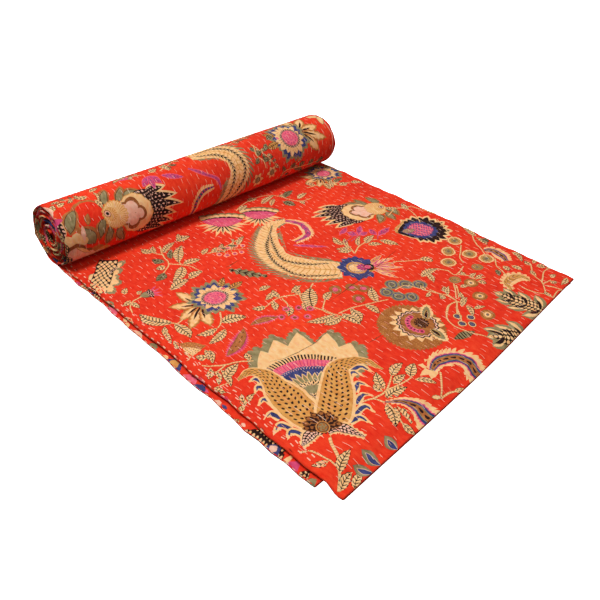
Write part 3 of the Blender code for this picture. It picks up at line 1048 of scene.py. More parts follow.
def navyLeaf(spot, start, end, width):
    leafTo(spot, start, end, width, "olive", "grey", jag=0.06, count=7)
    leafTo(spot, start, end, width * 0.5, "navy", "pale", share=0.8, edge=0.6)


def smallFlower(spot, radius):
    for number in range(6):
        leaf(spot, (0, 0), 60 * number, radius * 1.25, radius * 0.75, "cream", "brown", edge=0.5, belly=1.2)
    disc(spot, (0, 0), radius * 0.55, "olive", "black", edge=0.6)


def tulip(spot):
    # a small cup with a spotted rim and pink threads
    for heading in (-34, -12, 12, 34):
        leaf(spot, (8, heading * 0.10), heading, 20, 3.6, "magenta", "pink", edge=0.5)
    leaf(spot, (-12, 0), 0, 26, 18, "olive", "black", edge=0.7, belly=1.2)
    fan(spot, (-8, 0), 12, 22, 34, "black", "black", "pale", dots, count=2, rows=3, size=0.32, edge=0.6)


# the top layer: the near end first, then the large motifs, berries, stems and leaves

top = onTop(0, 0)
stem(top, ((-240, 35), (-254, 14), (-266, -2), (-289, -23)), 3.4)
stem(top, ((-284, 40), (-272, 31), (-269, 13), (-270, -5)), 2.4)
veinedRows(top, (
    (-271, 9, -288, 18, 10), (-274, -9, -240, 4, 13), (-287, -24, -259, -16, 11), (-275, -32, -245, -23, 10),
    (-133, 39, -118, 66, 14), (-138, 38, -138, 54, 9), (-109, 48, -78, 54, 14), (-118, 37, -93, 37, 12),
    (-146, 28, -109, 22, 16), (-91, 30, -66, 43, 15), (-90, 24, -77, 1, 10), (-152, 22, -174, -9, 17),
    (-144, 13, -152, -22, 15), (-163, -10, -163, -30, 10), (-66, -20, -50, -31, 9),
))
for path in (
    ((-180, 46), (-158, 38), (-151, 25)), ((-158, 38), (-134, 36), (-109, 48)),
    ((-134, 36), (-106, 30), (-90, 29)), ((-148, 26), (-163, -10)), ((-54, 11), (-72, -3), (-90, -16)),
    ((-90, -16), (-72, -18), (-55, -25), (-40, -28)),
):
    stem(top, path, 2.4)
navyLeaf(top, (-228, -31), (-231, -4), 17)
navyLeaf(top, (-243, -34), (-254, -11), 15)
navyLeaf(top, (-196, -30), (-194, -8), 16)
palmette(onTop(-234, 48, 54))
for tip in ((-66, 38), (-80, 24), (-76, 10), (-50, 40)):
    leafTo(top, (-52, 20), tip, 12, "cream", belly=0.8, jag=0.1, count=4)
crescent(top, ((-60, 19), (-43, 24), (-27, 20), (-14, 11), (-11, -4), (-16, -21), (-20, -38)),
         (8, 20, 22, 22, 21))
crescent(top, ((-150, 25), (-134, 9), (-128, -10), (-131, -36)), (2, 10, 24, 30))
leaf(top, (-88, -16), 150, 16, 7, "cream", "brown", jag=0.2, count=4)

plume(
    top, ((24, 250), (-14, 289), (-30, 328), (-21, 367), (4, 396), (30, 416), (66, 414)),
    (66, 78, 74, 68, 50, 32, 12),
    (((10, 246), (-30, 275), (-42, 303), (-37, 344), (-18, 375), (35, 417)),
     ((23, 275), (-6, 298), (-24, 327), (-15, 358), (10, 397))),
    ((64, 414), (75, 389), (64, 361), (48, 354), (26, 355)),
)
rayFlower(onTop(48, 238, -33), 25)
leaf(top, (61, 307), 136, 66, 8, "magenta", "pink", "navy", veins, count=9, size=0.12, jag=0.2, edge=0.9)
halfFlower(onTop(42, 458, 50), 1.05)
halfFlower(onTop(-21, 481, 52), 1.2)
thistle(onTop(187, 351, -21, 1.02, -1))
roundFlower(onTop(-166, 322, 0), 29)
roundFlower(onTop(252, 500, 28), 25)
scaleFlower(onTop(218, 243, -28), 0.96)
domeFlower(onTop(3, 90, 158, 0.92))
scaledLeaf(top, (172, -18), (156, 62), 58)
scaledLeaf(top, (104, -32), (52, 10), 60)
for part, ink in ((1.0, "olive"), (0.86, "cream")):
    for x, y, width in ((-211, 488, 17), (-226, 470, 19), (-242, 456, 22), (-251, 437, 21), (-274, 422, 20)):
        leafTo(top, (-272, 470), (x, y), width * part, ink, share=part, jag=0.2, count=5, belly=1.9)
    leaf(top, (-262, 480), 188, 20, 18 * part, ink)
scaledBody = ((-230, 506), (-250, 484), (-268, 465), (-284, 447), (-285, 435))
band(top, scaledBody, (28, 32, 29, 27, 14), "black")
for number, (place, heading, half) in enumerate(alongPath(scaledBody, (28, 32, 29, 27, 14), 6.2)):
    turn = math.radians(heading + 90)
    for side in ((-0.72, -0.24, 0.24, 0.72), (-0.48, 0.0, 0.48))[number % 2]:
        start = place + half * side * np.array((math.cos(turn), math.sin(turn)))
        leaf(top, tuple(start), heading + 12 * side, 8.4, 5.0, "cream", belly=0.9)
leaf(top, (-252, 470), 24, 25, 7, "black", "cream", "pale", dots, count=4, size=0.3)
tulip(onTop(-240, 392, -10, 0.9))
pinkLeaf(top, (-186, 243), (-243, 213), 25)
pinkLeaf(top, (-176, 242), (-130, 228), 17)
leaf(top, (54, 26), 165, 42, 15, "olive", "brown", "black", stripes, count=9, size=0.4, jag=0.15)
crescent(top, ((249, 134), (260, 125), (258, 109), (249, 92)), (7, 15, 15, 9))
crest = ((183, 44), (192, 58), (212, 61), (226, 54), (229, 38))
barbs(top, crest, (8, 22, 26, 22, 8), 6.0, 52, 0.72, 6.4, "cream", inset=0.5)
band(top, crest, (5, 15, 18, 15, 5), "cream")
band(top, crest, (3, 10, 13, 10, 3), "ochre", "tan", "brown", veins, count=9, size=0.24, edge=0.5)

oliveBerries = ((53, 174), (70, 160), (86, 146), (32, 166), (36, 148), (50, 134))
for place in oliveBerries:
    disc(top, place, 11.5, "olive")
for place in oliveBerries:
    disc(top, place, 8.6, "olive", "navy", edge=1.6)
    disc(top, place, 3.6, "grey", "black", edge=0.6)
for ringInks, radius, places in (
    ((), 14, ((236, 183), (200, 171), (221, 144), (231, 118), (173, 152))),
    (("moss",), 10.5, ((197, 114), (138, 117))),
    (("rust", "cream"), 12.5, ((131, 68), (100, 35), (150, 96))),
):
    for place in places:
        berry(top, place, radius, *ringInks)
for place in ((53, 48), (75, 48), (63, 38), (62, 62)):
    disc(top, place, 6.4, "cream", "brown", edge=0.5)
    disc(top, place, 4.6, "navy", "black", "grey", rings, rows=2, size=0.5)
for place in ((1, 209), (-22, 222), (-13, 184), (12, 196)):
    disc(top, place, 10.0, "rust", "brown", edge=0.8)
    disc(top, place, 5.6, "pink", "brown", "magenta", rings, rows=2, size=0.5, edge=1.0)
for path in (
    ((216, 310), (250, 316), (262, 290), (240, 258)), ((250, 316), (276, 300), (284, 276)),
    ((236, 14), (244, -10)), ((-67, 180), (-40, 176), (-16, 168), (18, 154)),
    ((-78, 214), (-67, 180), (-62, 150)), ((-35, 255), (-62, 246), (-100, 262), (-129, 259)),
    ((-67, 180), (-74, 198), (-53, 214)), ((-98, 258), (-104, 240), (-118, 230)), ((-72, 248), (-82, 232)),
    ((-250, 392), (-269, 389), (-281, 370)), ((180, 476), (222, 466), (262, 438)),
    ((-299, 182), (-272, 176)), ((-148, 487), (-160, 462), (-168, 436), (-180, 426), (-200, 414)),
    ((-168, 436), (-154, 420), (-149, 410), (-144, 385)), ((-160, 462), (-167, 474), (-172, 485)),
    ((-152, 431), (-155, 422)),
    ((22, 496), (55, 508), (88, 509), (111, 499), (120, 473), (133, 448), (157, 442)),
    ((76, 268), (98, 277), (124, 279), (138, 272)), ((76, 268), (84, 286), (83, 302), (87, 322)),
    ((105, 212), (128, 195), (147, 183)), ((143, 154), (151, 138), (152, 124), (182, 130)),
    ((234, 168), (200, 148), (189, 135)), ((128, 112), (93, 84)),
    ((93, 84), (92, 104), (83, 125), (68, 157), (47, 162)), ((93, 84), (72, 84), (51, 72)),
    ((93, 84), (66, 65)), ((272, 244), (252, 210), (238, 185)),
    ((284, 183), (263, 160), (249, 140), (236, 121)), ((241, 109), (223, 95), (216, 77), (211, 64)),
    ((203, 39), (205, 21), (212, 5)), ((271, 61), (249, 44), (240, 24), (228, 14), (214, 3), (214, -9)),
    ((240, 24), (267, 35), (282, 36)), ((237, 20), (255, 17)), ((216, -8), (236, -5), (242, -10)),
    ((155, 122), (165, 111), (165, 97), (181, 90)), ((126, 107), (106, 89), (92, 83)),
    ((92, 83), (71, 85), (53, 74), (41, 61), (41, 39), (54, 10)), ((92, 83), (73, 68), (58, 52)),
    ((92, 83), (96, 72), (96, 65)), ((87, 128), (90, 109), (95, 98), (92, 83)),
    ((-254, 315), (-247, 309), (-236, 313)), ((-188, 291), (-203, 273), (-214, 266)),
    ((-276, 222), (-268, 213), (-252, 203), (-238, 197), (-220, 186)),
    ((-252, 203), (-267, 200), (-274, 202)),
):
    stem(top, path, 2.1)
veinedRows(top, (
    (-67, 180, -112, 196, 14), (-78, 214, -46, 250, 25), (-62, 172, -98, 176, 12), (-60, 176, -58, 142, 16),
    (-40, 176, -52, 146, 14), (-16, 168, -20, 140, 13), (2, 160, 24, 190, 16), (-53, 214, -30, 222, 12),
    (-100, 262, -96, 282, 11), (-129, 259, -150, 268, 10), (-104, 240, -120, 222, 12),
    (-82, 232, -92, 214, 12), (-72, 248, -60, 268, 11), (-112, 262, -126, 244, 10),
    (-299, 182, -284, 164, 11), (272, 52, 284, 40, 11), (244, -10, 256, -24, 12), (284, 276, 288, 254, 10),
    (262, 300, 272, 322, 11), (250, 316, 236, 332, 11), (222, 466, 214, 446, 12), (262, 438, 282, 424, 12),
    (200, 472, 196, 494, 12), (240, 454, 256, 466, 11), (-169, 476, -175, 499, 14),
    (-167, 473, -156, 494, 9), (-156, 465, -123, 481, 13), (-154, 428, -119, 465, 16),
    (-152, 420, -123, 413, 14), (-120, 481, -93, 479, 19), (-111, 481, -102, 499, 8),
    (-176, 434, -191, 437, 13), (-157, 417, -194, 392, 18), (-207, 378, -170, 383, 17),
    (-170, 384, -143, 387, 15), (26, 490, 51, 499, 12), (62, 510, 82, 507, 14), (72, 483, 116, 495, 13),
    (81, 467, 104, 484, 10), (128, 474, 123, 490, 14), (137, 456, 166, 461, 11), (133, 447, 132, 435, 10),
    (222, 445, 244, 471, 9), (237, 442, 257, 440, 14), (-113, 422, -94, 430, 9), (-97, 415, -81, 423, 9),
    (-85, 406, -65, 417, 9), (-69, 404, -50, 418, 8), (-53, 407, -30, 418, 8), (-110, 293, -89, 291, 10),
    (-101, 278, -120, 270, 9), (-78, 258, -54, 262, 9), (80, 298, 87, 324, 13), (88, 285, 63, 297, 10),
    (81, 278, 60, 289, 10), (83, 286, 99, 310, 9), (98, 278, 126, 297, 8), (114, 276, 145, 284, 13),
    (113, 271, 133, 257, 11), (138, 267, 152, 236, 13), (145, 189, 157, 170, 14), (105, 156, 145, 153, 14),
    (122, 161, 107, 135, 10), (100, 106, 111, 118, 9), (84, 98, 87, 110, 8), (80, 130, 84, 144, 8),
    (82, 124, 66, 120, 7), (94, 67, 87, 51, 9), (105, 79, 116, 93, 7), (87, 71, 109, 76, 7),
    (281, 170, 296, 210, 10), (279, 167, 283, 190, 9), (287, 195, 301, 218, 8), (286, 181, 311, 187, 7),
    (276, 165, 269, 140, 10), (282, 98, 267, 74, 10), (231, 88, 228, 75, 12), (244, 80, 244, 61, 11),
    (268, 59, 272, 72, 9), (276, 60, 291, 60, 7), (281, 36, 292, 35, 7), (248, 38, 255, 52, 8),
    (261, 20, 274, 19, 8), (251, 16, 252, 6, 10), (280, 3, 255, 0, 9), (214, -6, 218, 9, 8),
    (278, 100, 279, 85, 10), (162, 104, 180, 106, 7), (164, 96, 183, 96, 7), (162, 92, 167, 80, 9),
    (162, 113, 167, 124, 7), (126, 100, 141, 94, 7), (94, 101, 116, 113, 7), (89, 103, 78, 104, 9),
    (96, 56, 114, 48, 7), (95, 68, 80, 48, 9), (97, 72, 109, 84, 7), (93, 77, 113, 78, 7),
    (-254, 314, -276, 361, 19), (-252, 311, -255, 273, 16), (-214, 266, -246, 273, 12),
    (-205, 258, -245, 248, 13), (-203, 273, -166, 259, 18), (-251, 239, -263, 215, 8),
    (-262, 228, -272, 240, 11), (-255, 243, -263, 224, 7), (-270, 210, -286, 197, 8),
    (-269, 201, -282, 181, 8), (-263, 200, -273, 168, 9), (-268, 183, -239, 194, 14),
    (-223, 189, -217, 203, 9), (-272, 312, -282, 282, 8), (-270, 302, -266, 315, 7),
    (-277, 283, -281, 266, 7), (-283, 131, -273, 151, 8), (-279, 135, -261, 141, 8),
    (-283, 131, -292, 135, 8), (-265, 412, -252, 424, 9), (-267, 395, -282, 391, 9),
    (-268, 390, -267, 372, 8), (-252, 401, -242, 404, 8),
))
veinedRows(top, (
    (-158, 443, -139, 466, 9), (-171, 444, -180, 461, 14), (-187, 420, -211, 411, 13),
    (120, 474, 154, 487, 13), (108, 466, 114, 441, 18), (240, 458, 263, 460, 10), (-84, 414, -68, 424, 8),
    (277, 157, 279, 144, 13), (214, 90, 202, 78, 9),
), "olive")
for start, end, width in (
    ((123, 299), (150, 319), 9), ((123, 301), (117, 318), 14), ((124, 300), (142, 298), 10),
    ((147, 277), (185, 283), 11), ((149, 280), (153, 300), 11), ((100, 322), (128, 330), 8),
):
    leafTo(top, start, end, width + 3, "magenta", "pink", "navy", veins, longer=3, count=3, size=0.14,
           jag=0.2, edge=1.2)
leafTo(top, (-113, 369), (-72, 306), 21, "olive", "brown", "black", veins, count=7, jag=0.4, edge=0.7)
for start, end in (((100, 296), (123, 300)), ((140, 272), (149, 279)), ((88, 300), (122, 306))):
    stem(top, (start, end), 1.6, "magenta")
budSpray(onTop(-104, 420, -28), 62, 8)
spray(top, (-104, 420), (-42, 410), 4, 0.15)
for place in ((-112, 236), (-96, 226), (-84, 214), (-116, 214), (-100, 204), (-130, 226)):
    disc(top, place, 5.6, "pink", "magenta", edge=1.0)
    disc(top, place, 2.6, "brown", "black", edge=0.6)
fan(top, (-281, 243), 0, 32, 34, "tan", "tan", "ochre", dots, count=5, rows=5, size=0.2, heading=42)
fan(top, (-281, 243), 0, 22, 34, "cream", "ochre", "brown", dots, count=4, rows=4, size=0.24, heading=38)

# the roll's outer turn, as far as the photo shows it

roll = onRoll(0, 0)
disc(roll, (-242, -740), 29, "tan", jag=0.03, squash=1.05)
disc(roll, (-240, -738), 23, "red", squash=1.05)
leaf(roll, (-243, -776), 117, 34, 26, "tan")
thistle(onRoll(-169, 753, 168, 1.0))
roundFlower(onRoll(180, 726, 190, 1.0, -1), 31)
plume(
    roll, ((-24, -694), (16, -698), (40, -713), (48, -734), (44, -756), (30, -776), (14, -803), (2, -826)),
    (34, 50, 60, 62, 60, 54, 40, 20),
    (((-10, -690), (22, -690), (46, -706), (60, -730), (56, -758), (38, -782), (20, -812)),
     ((-14, -700), (14, -708), (32, -722), (36, -742), (28, -766), (10, -800))),
    ((2, -826), (-6, -838), (-18, -842)),
)
curlPlume(roll, ((-56, -804), (-53, -776), (-38, -760), (-14, -758)), 17)
band(roll, ((-46, -718), (-23, -735), (-4, -749), (0, -768)), (3, 8, 7, 8, 2), "magenta", "pink", "navy",
     veins, count=12, size=0.14, edge=0.8, jag=0.2)
leaf(roll, (-100, -712), -24, 42, 11, "magenta", "pink", "navy", veins, count=7, size=0.14, jag=0.2)
leaf(roll, (-166, -693), -4, 34, 8, "magenta", "pink", jag=0.2, count=8)
for heading in (-44, 0, 44):
    leaf(onRoll(-117, 706, -96, 1.15), (0, 0), heading, 22, 10, "magenta", "pink", "navy", veins,
         count=3, size=0.1)
for start, end, pairs in (
    ((-92, -704), (-48, -694), 5), ((-124, -700), (-150, -684), 3), ((98, -714), (118, -762), 6),
    ((66, -694), (100, -690), 4), ((-232, -706), (-262, -690), 3), ((126, -800), (190, -784), 5),
    ((230, -800), (264, -820), 4), ((90, -840), (130, -850), 4), ((90, -690), (140, -684), 4),
):
    spray(roll, start, end, pairs)
veinedRows(roll, (
    (-212, -700, -219, -724, 4), (-221, -716, -216, -732, 9), (-216, -698, -200, -692, 9),
    (-226, -706, -244, -700, 9), (-84, -690, -74, -704, 12), (-108, -700, -92, -694, 12),
    (-276, -708, -262, -702, 8), (-286, -712, -278, -700, 8),
))
veinedRows(roll, (
    (158, -783, 150, -768, 8), (172, -782, 182, -772, 12), (194, -785, 207, -775, 13),
    (222, -790, 231, -778, 15), (246, -791, 263, -786, 15), (179, -783, 217, -806, 8),
    (93, -729, 93, -719, 8), (93, -735, 108, -733, 8), (95, -740, 84, -747, 8), (101, -747, 117, -749, 8),
    (134, -715, 152, -711, 8), (127, -722, 113, -732, 8),
), "olive")
stem(roll, ((149, -782), (168, -780), (212, -786), (250, -788)), 2.0)
stem(roll, ((101, -717), (94, -734), (103, -748), (106, -761)), 2.0)
band(roll, ((283, -686), (284, -760), (283, -850)), (1.6, 1.6), "pale", "pale")
band(roll, ((288.5, -686), (288.5, -760), (288.5, -850)), (3.0, 3.0), "magenta", "navy", edge=0.6)
leaf(roll, (262, -690), -30, 26, 12, "cream", "tan", edge=1.2)
leaf(roll, (282, -700), -100, 24, 14, "cream", "olive", edge=1.2)
smallFlower(onRoll(86, 777), 11)
smallFlower(onRoll(120, 772), 10)
leaf(roll, (-280, -752), 52, 40, 26, "tan", bend=0.1)
leaf(roll, (-279, -750), 52, 36, 17, "olive", "black", edge=0.8, bend=0.1)
leaf(roll, (-243, -776), 117, 31, 20, "olive", "black", edge=0.8, bend=0.06)
leaf(roll, (-249, -747), 62, 18, 9, "tan", "brown", edge=1.0)
for x, y, radius, ink in (
    (-287, 764, 13, "cream"), (-272, 760, 9, "cream"), (-262, 766, 7, "cream"), (-278, 786, 21, "brown"),
    (-258, 798, 19, "brown"), (-288, 800, 18, "brown"), (-240, 792, 12, "tan"), (-228, 800, 12, "ochre"),
    (-277, 789, 18, "pale"), (-258, 801, 16, "pale"), (-290, 804, 17, "pale"), (-240, 810, 16, "pale"),
):
    disc(roll, (x, -y), radius, ink, jag=0.06, count=9)
leaf(roll, (-262, -768), 80, 26, 8, "pale", jag=0.2, count=5)
leaf(roll, (-276, -770), -40, 34, 7, "cream", "brown")
leaf(roll, (-290, -722), -96, 36, 20, "black", "cream", "pale", dots, count=6, rows=1.5, size=0.3, edge=1.0)

# along the folds, where pieces of other motifs reach round the edge
foldInks = (
    ("black", dots), ("magenta", plain), ("cream", plain), ("navy", plain), ("black", dots), ("pale", plain),
    ("olive", plain), ("red", plain), ("cream", stripes), ("pink", plain), ("brown", dots),
)
rollStart, clothEnd = 556, 1530  # along the cloth


def foldMark(fold, along, length, width, ink, pattern, shift):
    spot = Spot(fold * layerUnit - foldRun / 2, along * 0.001, 90)
    leaf(spot, (0, shift), 0, length, width, ink, None, "cream" if ink != "cream" else "black", pattern,
         count=length / 5, rows=2, size=0.32, jag=0.12, belly=0.9)


for fold, along, gap in ((1, rollStart, 4), (3, rollStart, 5), (2, 6, 24)):
    number = fold
    while along < clothEnd:
        ink, pattern = foldInks[(number * 7) % 11]
        length = 10 + 7 * ((number * 5) % 4)
        foldMark(fold, along, length, 15 + 4 * (number % 3), ink, pattern, 3 * (number % 3) - 3)
        along += length + gap * ((number * 3) % 5) / 2 - 2
        number += 1
for number in range(61):
    ink, pattern = foldInks[(number * 5) % 11]
    length, width = 7 + 3 * (number % 3), 5 + 2 * ((number * 3) % 4)
    foldMark(1, 4 + 9 * number, length, width, ink, pattern, 4 * (number % 4) - 7)
    ink = ("cream", "olive", "pale", "black", "cream")[number % 5]
    foldMark(3, 6 + 9 * number, 6 + 2 * (number % 4), 2.5, ink, plain, 3 * (number % 3) - 2)
for fold, along, length, width, ink, pattern, shift in (
    (1, 236, 34, 34, "navy", plain, 0), (1, 246, 16, 20, "ochre", plain, -6),
    (1, 205, 26, 22, "pink", plain, -4), (1, 186, 24, 26, "navy", plain, 0),
    (1, 156, 14, 20, "pale", plain, 0), (1, 138, 12, 16, "magenta", plain, 2),
    (1, 48, 62, 44, "black", dots, -4), (1, 56, 20, 26, "navy", plain, -4),
    (1, 62, 10, 12, "pale", plain, -8), (1, 42, 6, 30, "cream", plain, -4),
    (1, 26, 16, 22, "magenta", plain, -4), (1, 12, 12, 18, "black", dots, -6),
    (1, 0, 12, 20, "olive", plain, -2), (1, 290, 20, 22, "olive", plain, 0),
    (1, 322, 26, 20, "pale", stripes, 0), (1, 352, 16, 22, "cream", plain, 2),
    (1, 384, 30, 24, "pink", plain, 0), (1, 430, 24, 24, "black", dots, 0),
    (1, 460, 24, 22, "cream", stripes, 0), (3, 350, 20, 12, "cream", stripes, 0),
    (3, 396, 24, 14, "olive", plain, 0), (3, 440, 26, 14, "black", dots, 0),
    (3, 196, 14, 10, "pink", plain, 0), (3, 150, 18, 10, "magenta", plain, 0),
):
    foldMark(fold, along, length, width, ink, pattern, shift)

for fold, shift, count in ((3, -3.4, 46), (3, 2.6, 52), (1, -3, 50), (1, 3, 44)):
    edge = Spot(fold * layerUnit - foldRun / 2, 0.0, 90)
    band(edge, ((4, shift), (280, shift + 1), (548, shift)), (1.7, 1.7), "pale", None, "red", stripes,
         count=count, size=0.56, edge=0)
for x, y, count in ((-283, 548, 40), (-276, 300, 22)):
    band(top, ((x, 6), (x + 0.5, y / 2), (x, y)), (1.5, 1.5), "pale", None, "red", stripes,
         count=count, size=0.6, edge=0)
# thin shadows in the creases
for path in (
    ((-204, 171), (-186, 163), (-166, 160), (-136, 158), (-94, 165)),
    ((-53, 208), (-5, 212), (62, 219), (133, 230)), ((-80, 110), (-66, 109), (-51, 109)),
    ((-108, 371), (-78, 374)),
):
    band(top, path, (0.3, 1.3, 1.1, 0.3), "brown", "black", edge=0.3)

# the roll's far side, which the photo doesn't show
thistle(onRoll(54, 626, 150, 0.8))
roundFlower(onRoll(-96, 618, 40), 25)
scaleFlower(onRoll(-222, 626, 60), 0.8)
halfFlower(onRoll(196, 606, 80), 1.0)
halfFlower(onRoll(236, 640, 60), 0.9)
crescent(roll, ((-30, -590), (-22, -612), (-34, -634), (-50, -648)), (6, 16, 16, 6))
for start, end, pairs in (
    ((-150, -590), (-176, -650), 5), ((-60, -580), (-46, -640), 4), ((-20, -664), (34, -676), 5),
    ((110, -590), (128, -650), 5), ((150, -660), (206, -668), 5), ((264, -580), (278, -640), 5),
    ((-270, -580), (-284, -640), 4), ((4, -580), (20, -600), 3), ((-110, -664), (-164, -676), 4),
    ((84, -660), (128, -676), 4), ((-240, -672), (-200, -660), 4), ((240, -676), (270, -664), 3),
):
    spray(roll, start, end, pairs)
for x, y in (
    (130, 606), (144, 620), (140, 594), (-250, 584), (-236, 574), (-190, 572), (-66, 664), (-50, 672),
):
    berry(roll, (x, -y), 9)


printing = {
    "slots": 8,  # marks that one face of the cloth can show over each other
    "largestFace": 0.027,
    "wobble": 0.0007,
    "wobbleLength": 0.038,
}


def printFaces(cloth):
    # Corners of each face, as loops and as points of the mesh.
    mesh = cloth.data
    starts = readAll(mesh.polygons, "loop_start", 1, np.int32)
    totals = readAll(mesh.polygons, "loop_total", 1, np.int32)
    loops = starts[:, None] + np.minimum(np.arange(4), totals[:, None] - 1)
    return loops, readAll(mesh.loops, "vertex_index", 1, np.int32)[loops]


factNames = ("form", "filling", "rhythm", "line", "fill", "detail")


def stackMarks(cloth):
    # Each face keeps the marks that cross it, back to front, as attributes for the cotton. The
    # lowest goes where there are more than the slots.
    loops, points = printFaces(cloth)
    wobbleX = ripple(flatAcross, flat[:, 1], 2.1, printing["wobbleLength"])
    wobbleY = ripple(flatAcross, flat[:, 1], 4.4, printing["wobbleLength"] * 0.8)
    # on the top layer the pattern goes by where the cloth lies, not by its own length
    x = strip["width"] * ((flatAcross - 3 * layerUnit) / layerRun - 0.5)
    skew = (1.0 - soft(flat[:, 1] / strip["skewRun"])) * (flatAcross > 3 * layerUnit - foldRun / 2)
    seen = flat[:, 1] - np.interp(x / (strip["width"] / 2), *zip(*strip["upperReach"])) * skew
    wobble = printing["wobble"]
    spots = np.stack((flatAcross + wobble * wobbleX, seen + wobble * wobbleY), -1)[points]
    low, high = spots.min(axis=1), spots.max(axis=1)
    half = np.hypot(*(high - low).T) / 2
    shown = np.flatnonzero((skinSide[points] > 0).all(axis=1) & (half < printing["largestFace"] / 2))
    middle, half, spots = ((low + high) / 2)[shown], half[shown], spots[shown]

    slots = printing["slots"]
    used = np.zeros(len(shown), int)
    place = np.zeros((slots, len(shown), 4, 3), np.float32)
    facts = {name: np.zeros((slots, len(shown), 3), np.float32) for name in factNames}
    dropped = 0
    for mark in marks:
        centre, size = mark["bounds"]
        near = np.flatnonzero(np.hypot(*(middle - centre).T) < size + half)
        if not len(near):
            continue
        u, v, depth = (part.reshape(-1, 4) for part in mark["reach"](spots[near].reshape(-1, 2)))
        touched = depth.max(axis=1) > -half[near]
        near, u, v, depth = near[touched], u[touched], v[touched], depth[touched]
        if not len(near):
            continue
        used[near[depth.min(axis=1) > mark["cover"]]] = 0
        full = near[used[near] == slots]
        dropped += len(full)
        for values in (place, *facts.values()):
            values[:-1, full] = values[1:, full]
        used[full] -= 1
        slot = used[near]
        place[slot, near] = np.stack((u, v, np.full_like(u, mark["shape"])), -1)
        for name in factNames:
            facts[name][slot, near] = mark[name]
        used[near] += 1

    for number in range(slots):
        unused = used <= number
        place[number, unused] = 0
        ofCorners = np.zeros((len(cloth.data.loops), 3), np.float32)
        ofCorners[loops[shown]] = place[number]
        attribute = cloth.data.attributes.new(f"place{number}", "FLOAT_VECTOR", "CORNER")
        attribute.data.foreach_set("vector", ofCorners.ravel())
        for name in factNames:
            facts[name][number, unused] = 0
            ofFaces = np.zeros((len(cloth.data.polygons), 3), np.float32)
            ofFaces[shown] = facts[name][number]
            attribute = cloth.data.attributes.new(f"{name}{number}", "FLOAT_VECTOR", "FACE")
            attribute.data.foreach_set("vector", ofFaces.ravel())
    print("pattern printed:", len(marks), "marks; lowest ones left off crowded faces:", dropped)

class Wire:
    # An output socket. Arithmetic on it adds Math nodes.
    def __init__(self, finish, node, output):
        self.finish = finish
        self.node = node
        self.socket = node.outputs[output]

    def math(self, operation, *others):
        return self.finish.node("Math", {"operation": operation}, (self, *others))

    def __add__(self, other):
        return self.math("ADD", other)

    def __sub__(self, other):
        return self.math("SUBTRACT", other)

    def __rsub__(self, other):
        return self.finish.node("Math", {"operation": "SUBTRACT"}, (other, self))

    def __mul__(self, other):
        return self.math("MULTIPLY", other)

    def __truediv__(self, other):
        return self.math("DIVIDE", other)

    def __lt__(self, other):
        return self.math("LESS_THAN", other)

    def __gt__(self, other):
        return self.math("GREATER_THAN", other)

    def __abs__(self):
        return self.math("ABSOLUTE")

    __radd__ = __add__
    __rmul__ = __mul__


class Finish:
    # A material that is built node by node.
    def __init__(self, name, roughness):
        self.material = bpy.data.materials.new(name)
        self.material.use_nodes = True
        self.tree = self.material.node_tree
        self.surface = self.tree.nodes["Principled BSDF"]
        self.surface.inputs["Roughness"].default_value = roughness

    def node(self, kind, settings, values, output=0):
        made = self.tree.nodes.new("ShaderNode" + kind)
        for name, value in settings.items():
            if name == "stops":
                self.setStops(made.color_ramp, value)
            else:
                setattr(made, name, value)
        pairs = values.items() if isinstance(values, dict) else enumerate(values)
        for name, value in pairs:
            self.feed(made.inputs[name], value)
        return Wire(self, made, output)

    def setStops(self, ramp, stops):
        while len(ramp.elements) < len(stops):
            ramp.elements.new(0.5)
        for element, (place, colour) in zip(ramp.elements, stops):
            element.position = place
            element.color = (*colour, 1.0)

    def feed(self, socket, value):
        if isinstance(value, Wire):
            self.tree.links.new(value.socket, socket)
        elif isinstance(value, tuple) and len(value) == 3 and socket.type == "RGBA":
            socket.default_value = (*value, 1.0)
        else:
            socket.default_value = value

    def give(self, name, value):
        self.feed(self.surface.inputs[name], value)

    def mix(self, factor, low, high):
        return self.node("Mix", {"data_type": "FLOAT"}, {0: factor, 2: low, 3: high})

    def blend(self, factor, below, above, kind="MIX"):
        settings = {"data_type": "RGBA", "blend_type": kind}
        return self.node("Mix", settings, {0: factor, 6: below, 7: above}, 2)

    def vector(self, operation, *values, output="Vector"):
        return self.node("VectorMath", {"operation": operation}, values, output)

    def split(self, vector):
        first = self.node("SeparateXYZ", {}, (vector,))
        return first, Wire(self, first.node, 1), Wire(self, first.node, 2)

    def attribute(self, name):
        return self.node("Attribute", {"attribute_name": name}, {}, "Vector")

    def noise(self, place, scale, detail=2.0, roughness=0.5):
        values = {"Vector": place, "Scale": scale, "Detail": detail, "Roughness": roughness}
        return self.node("TexNoise", {}, values, "Fac")


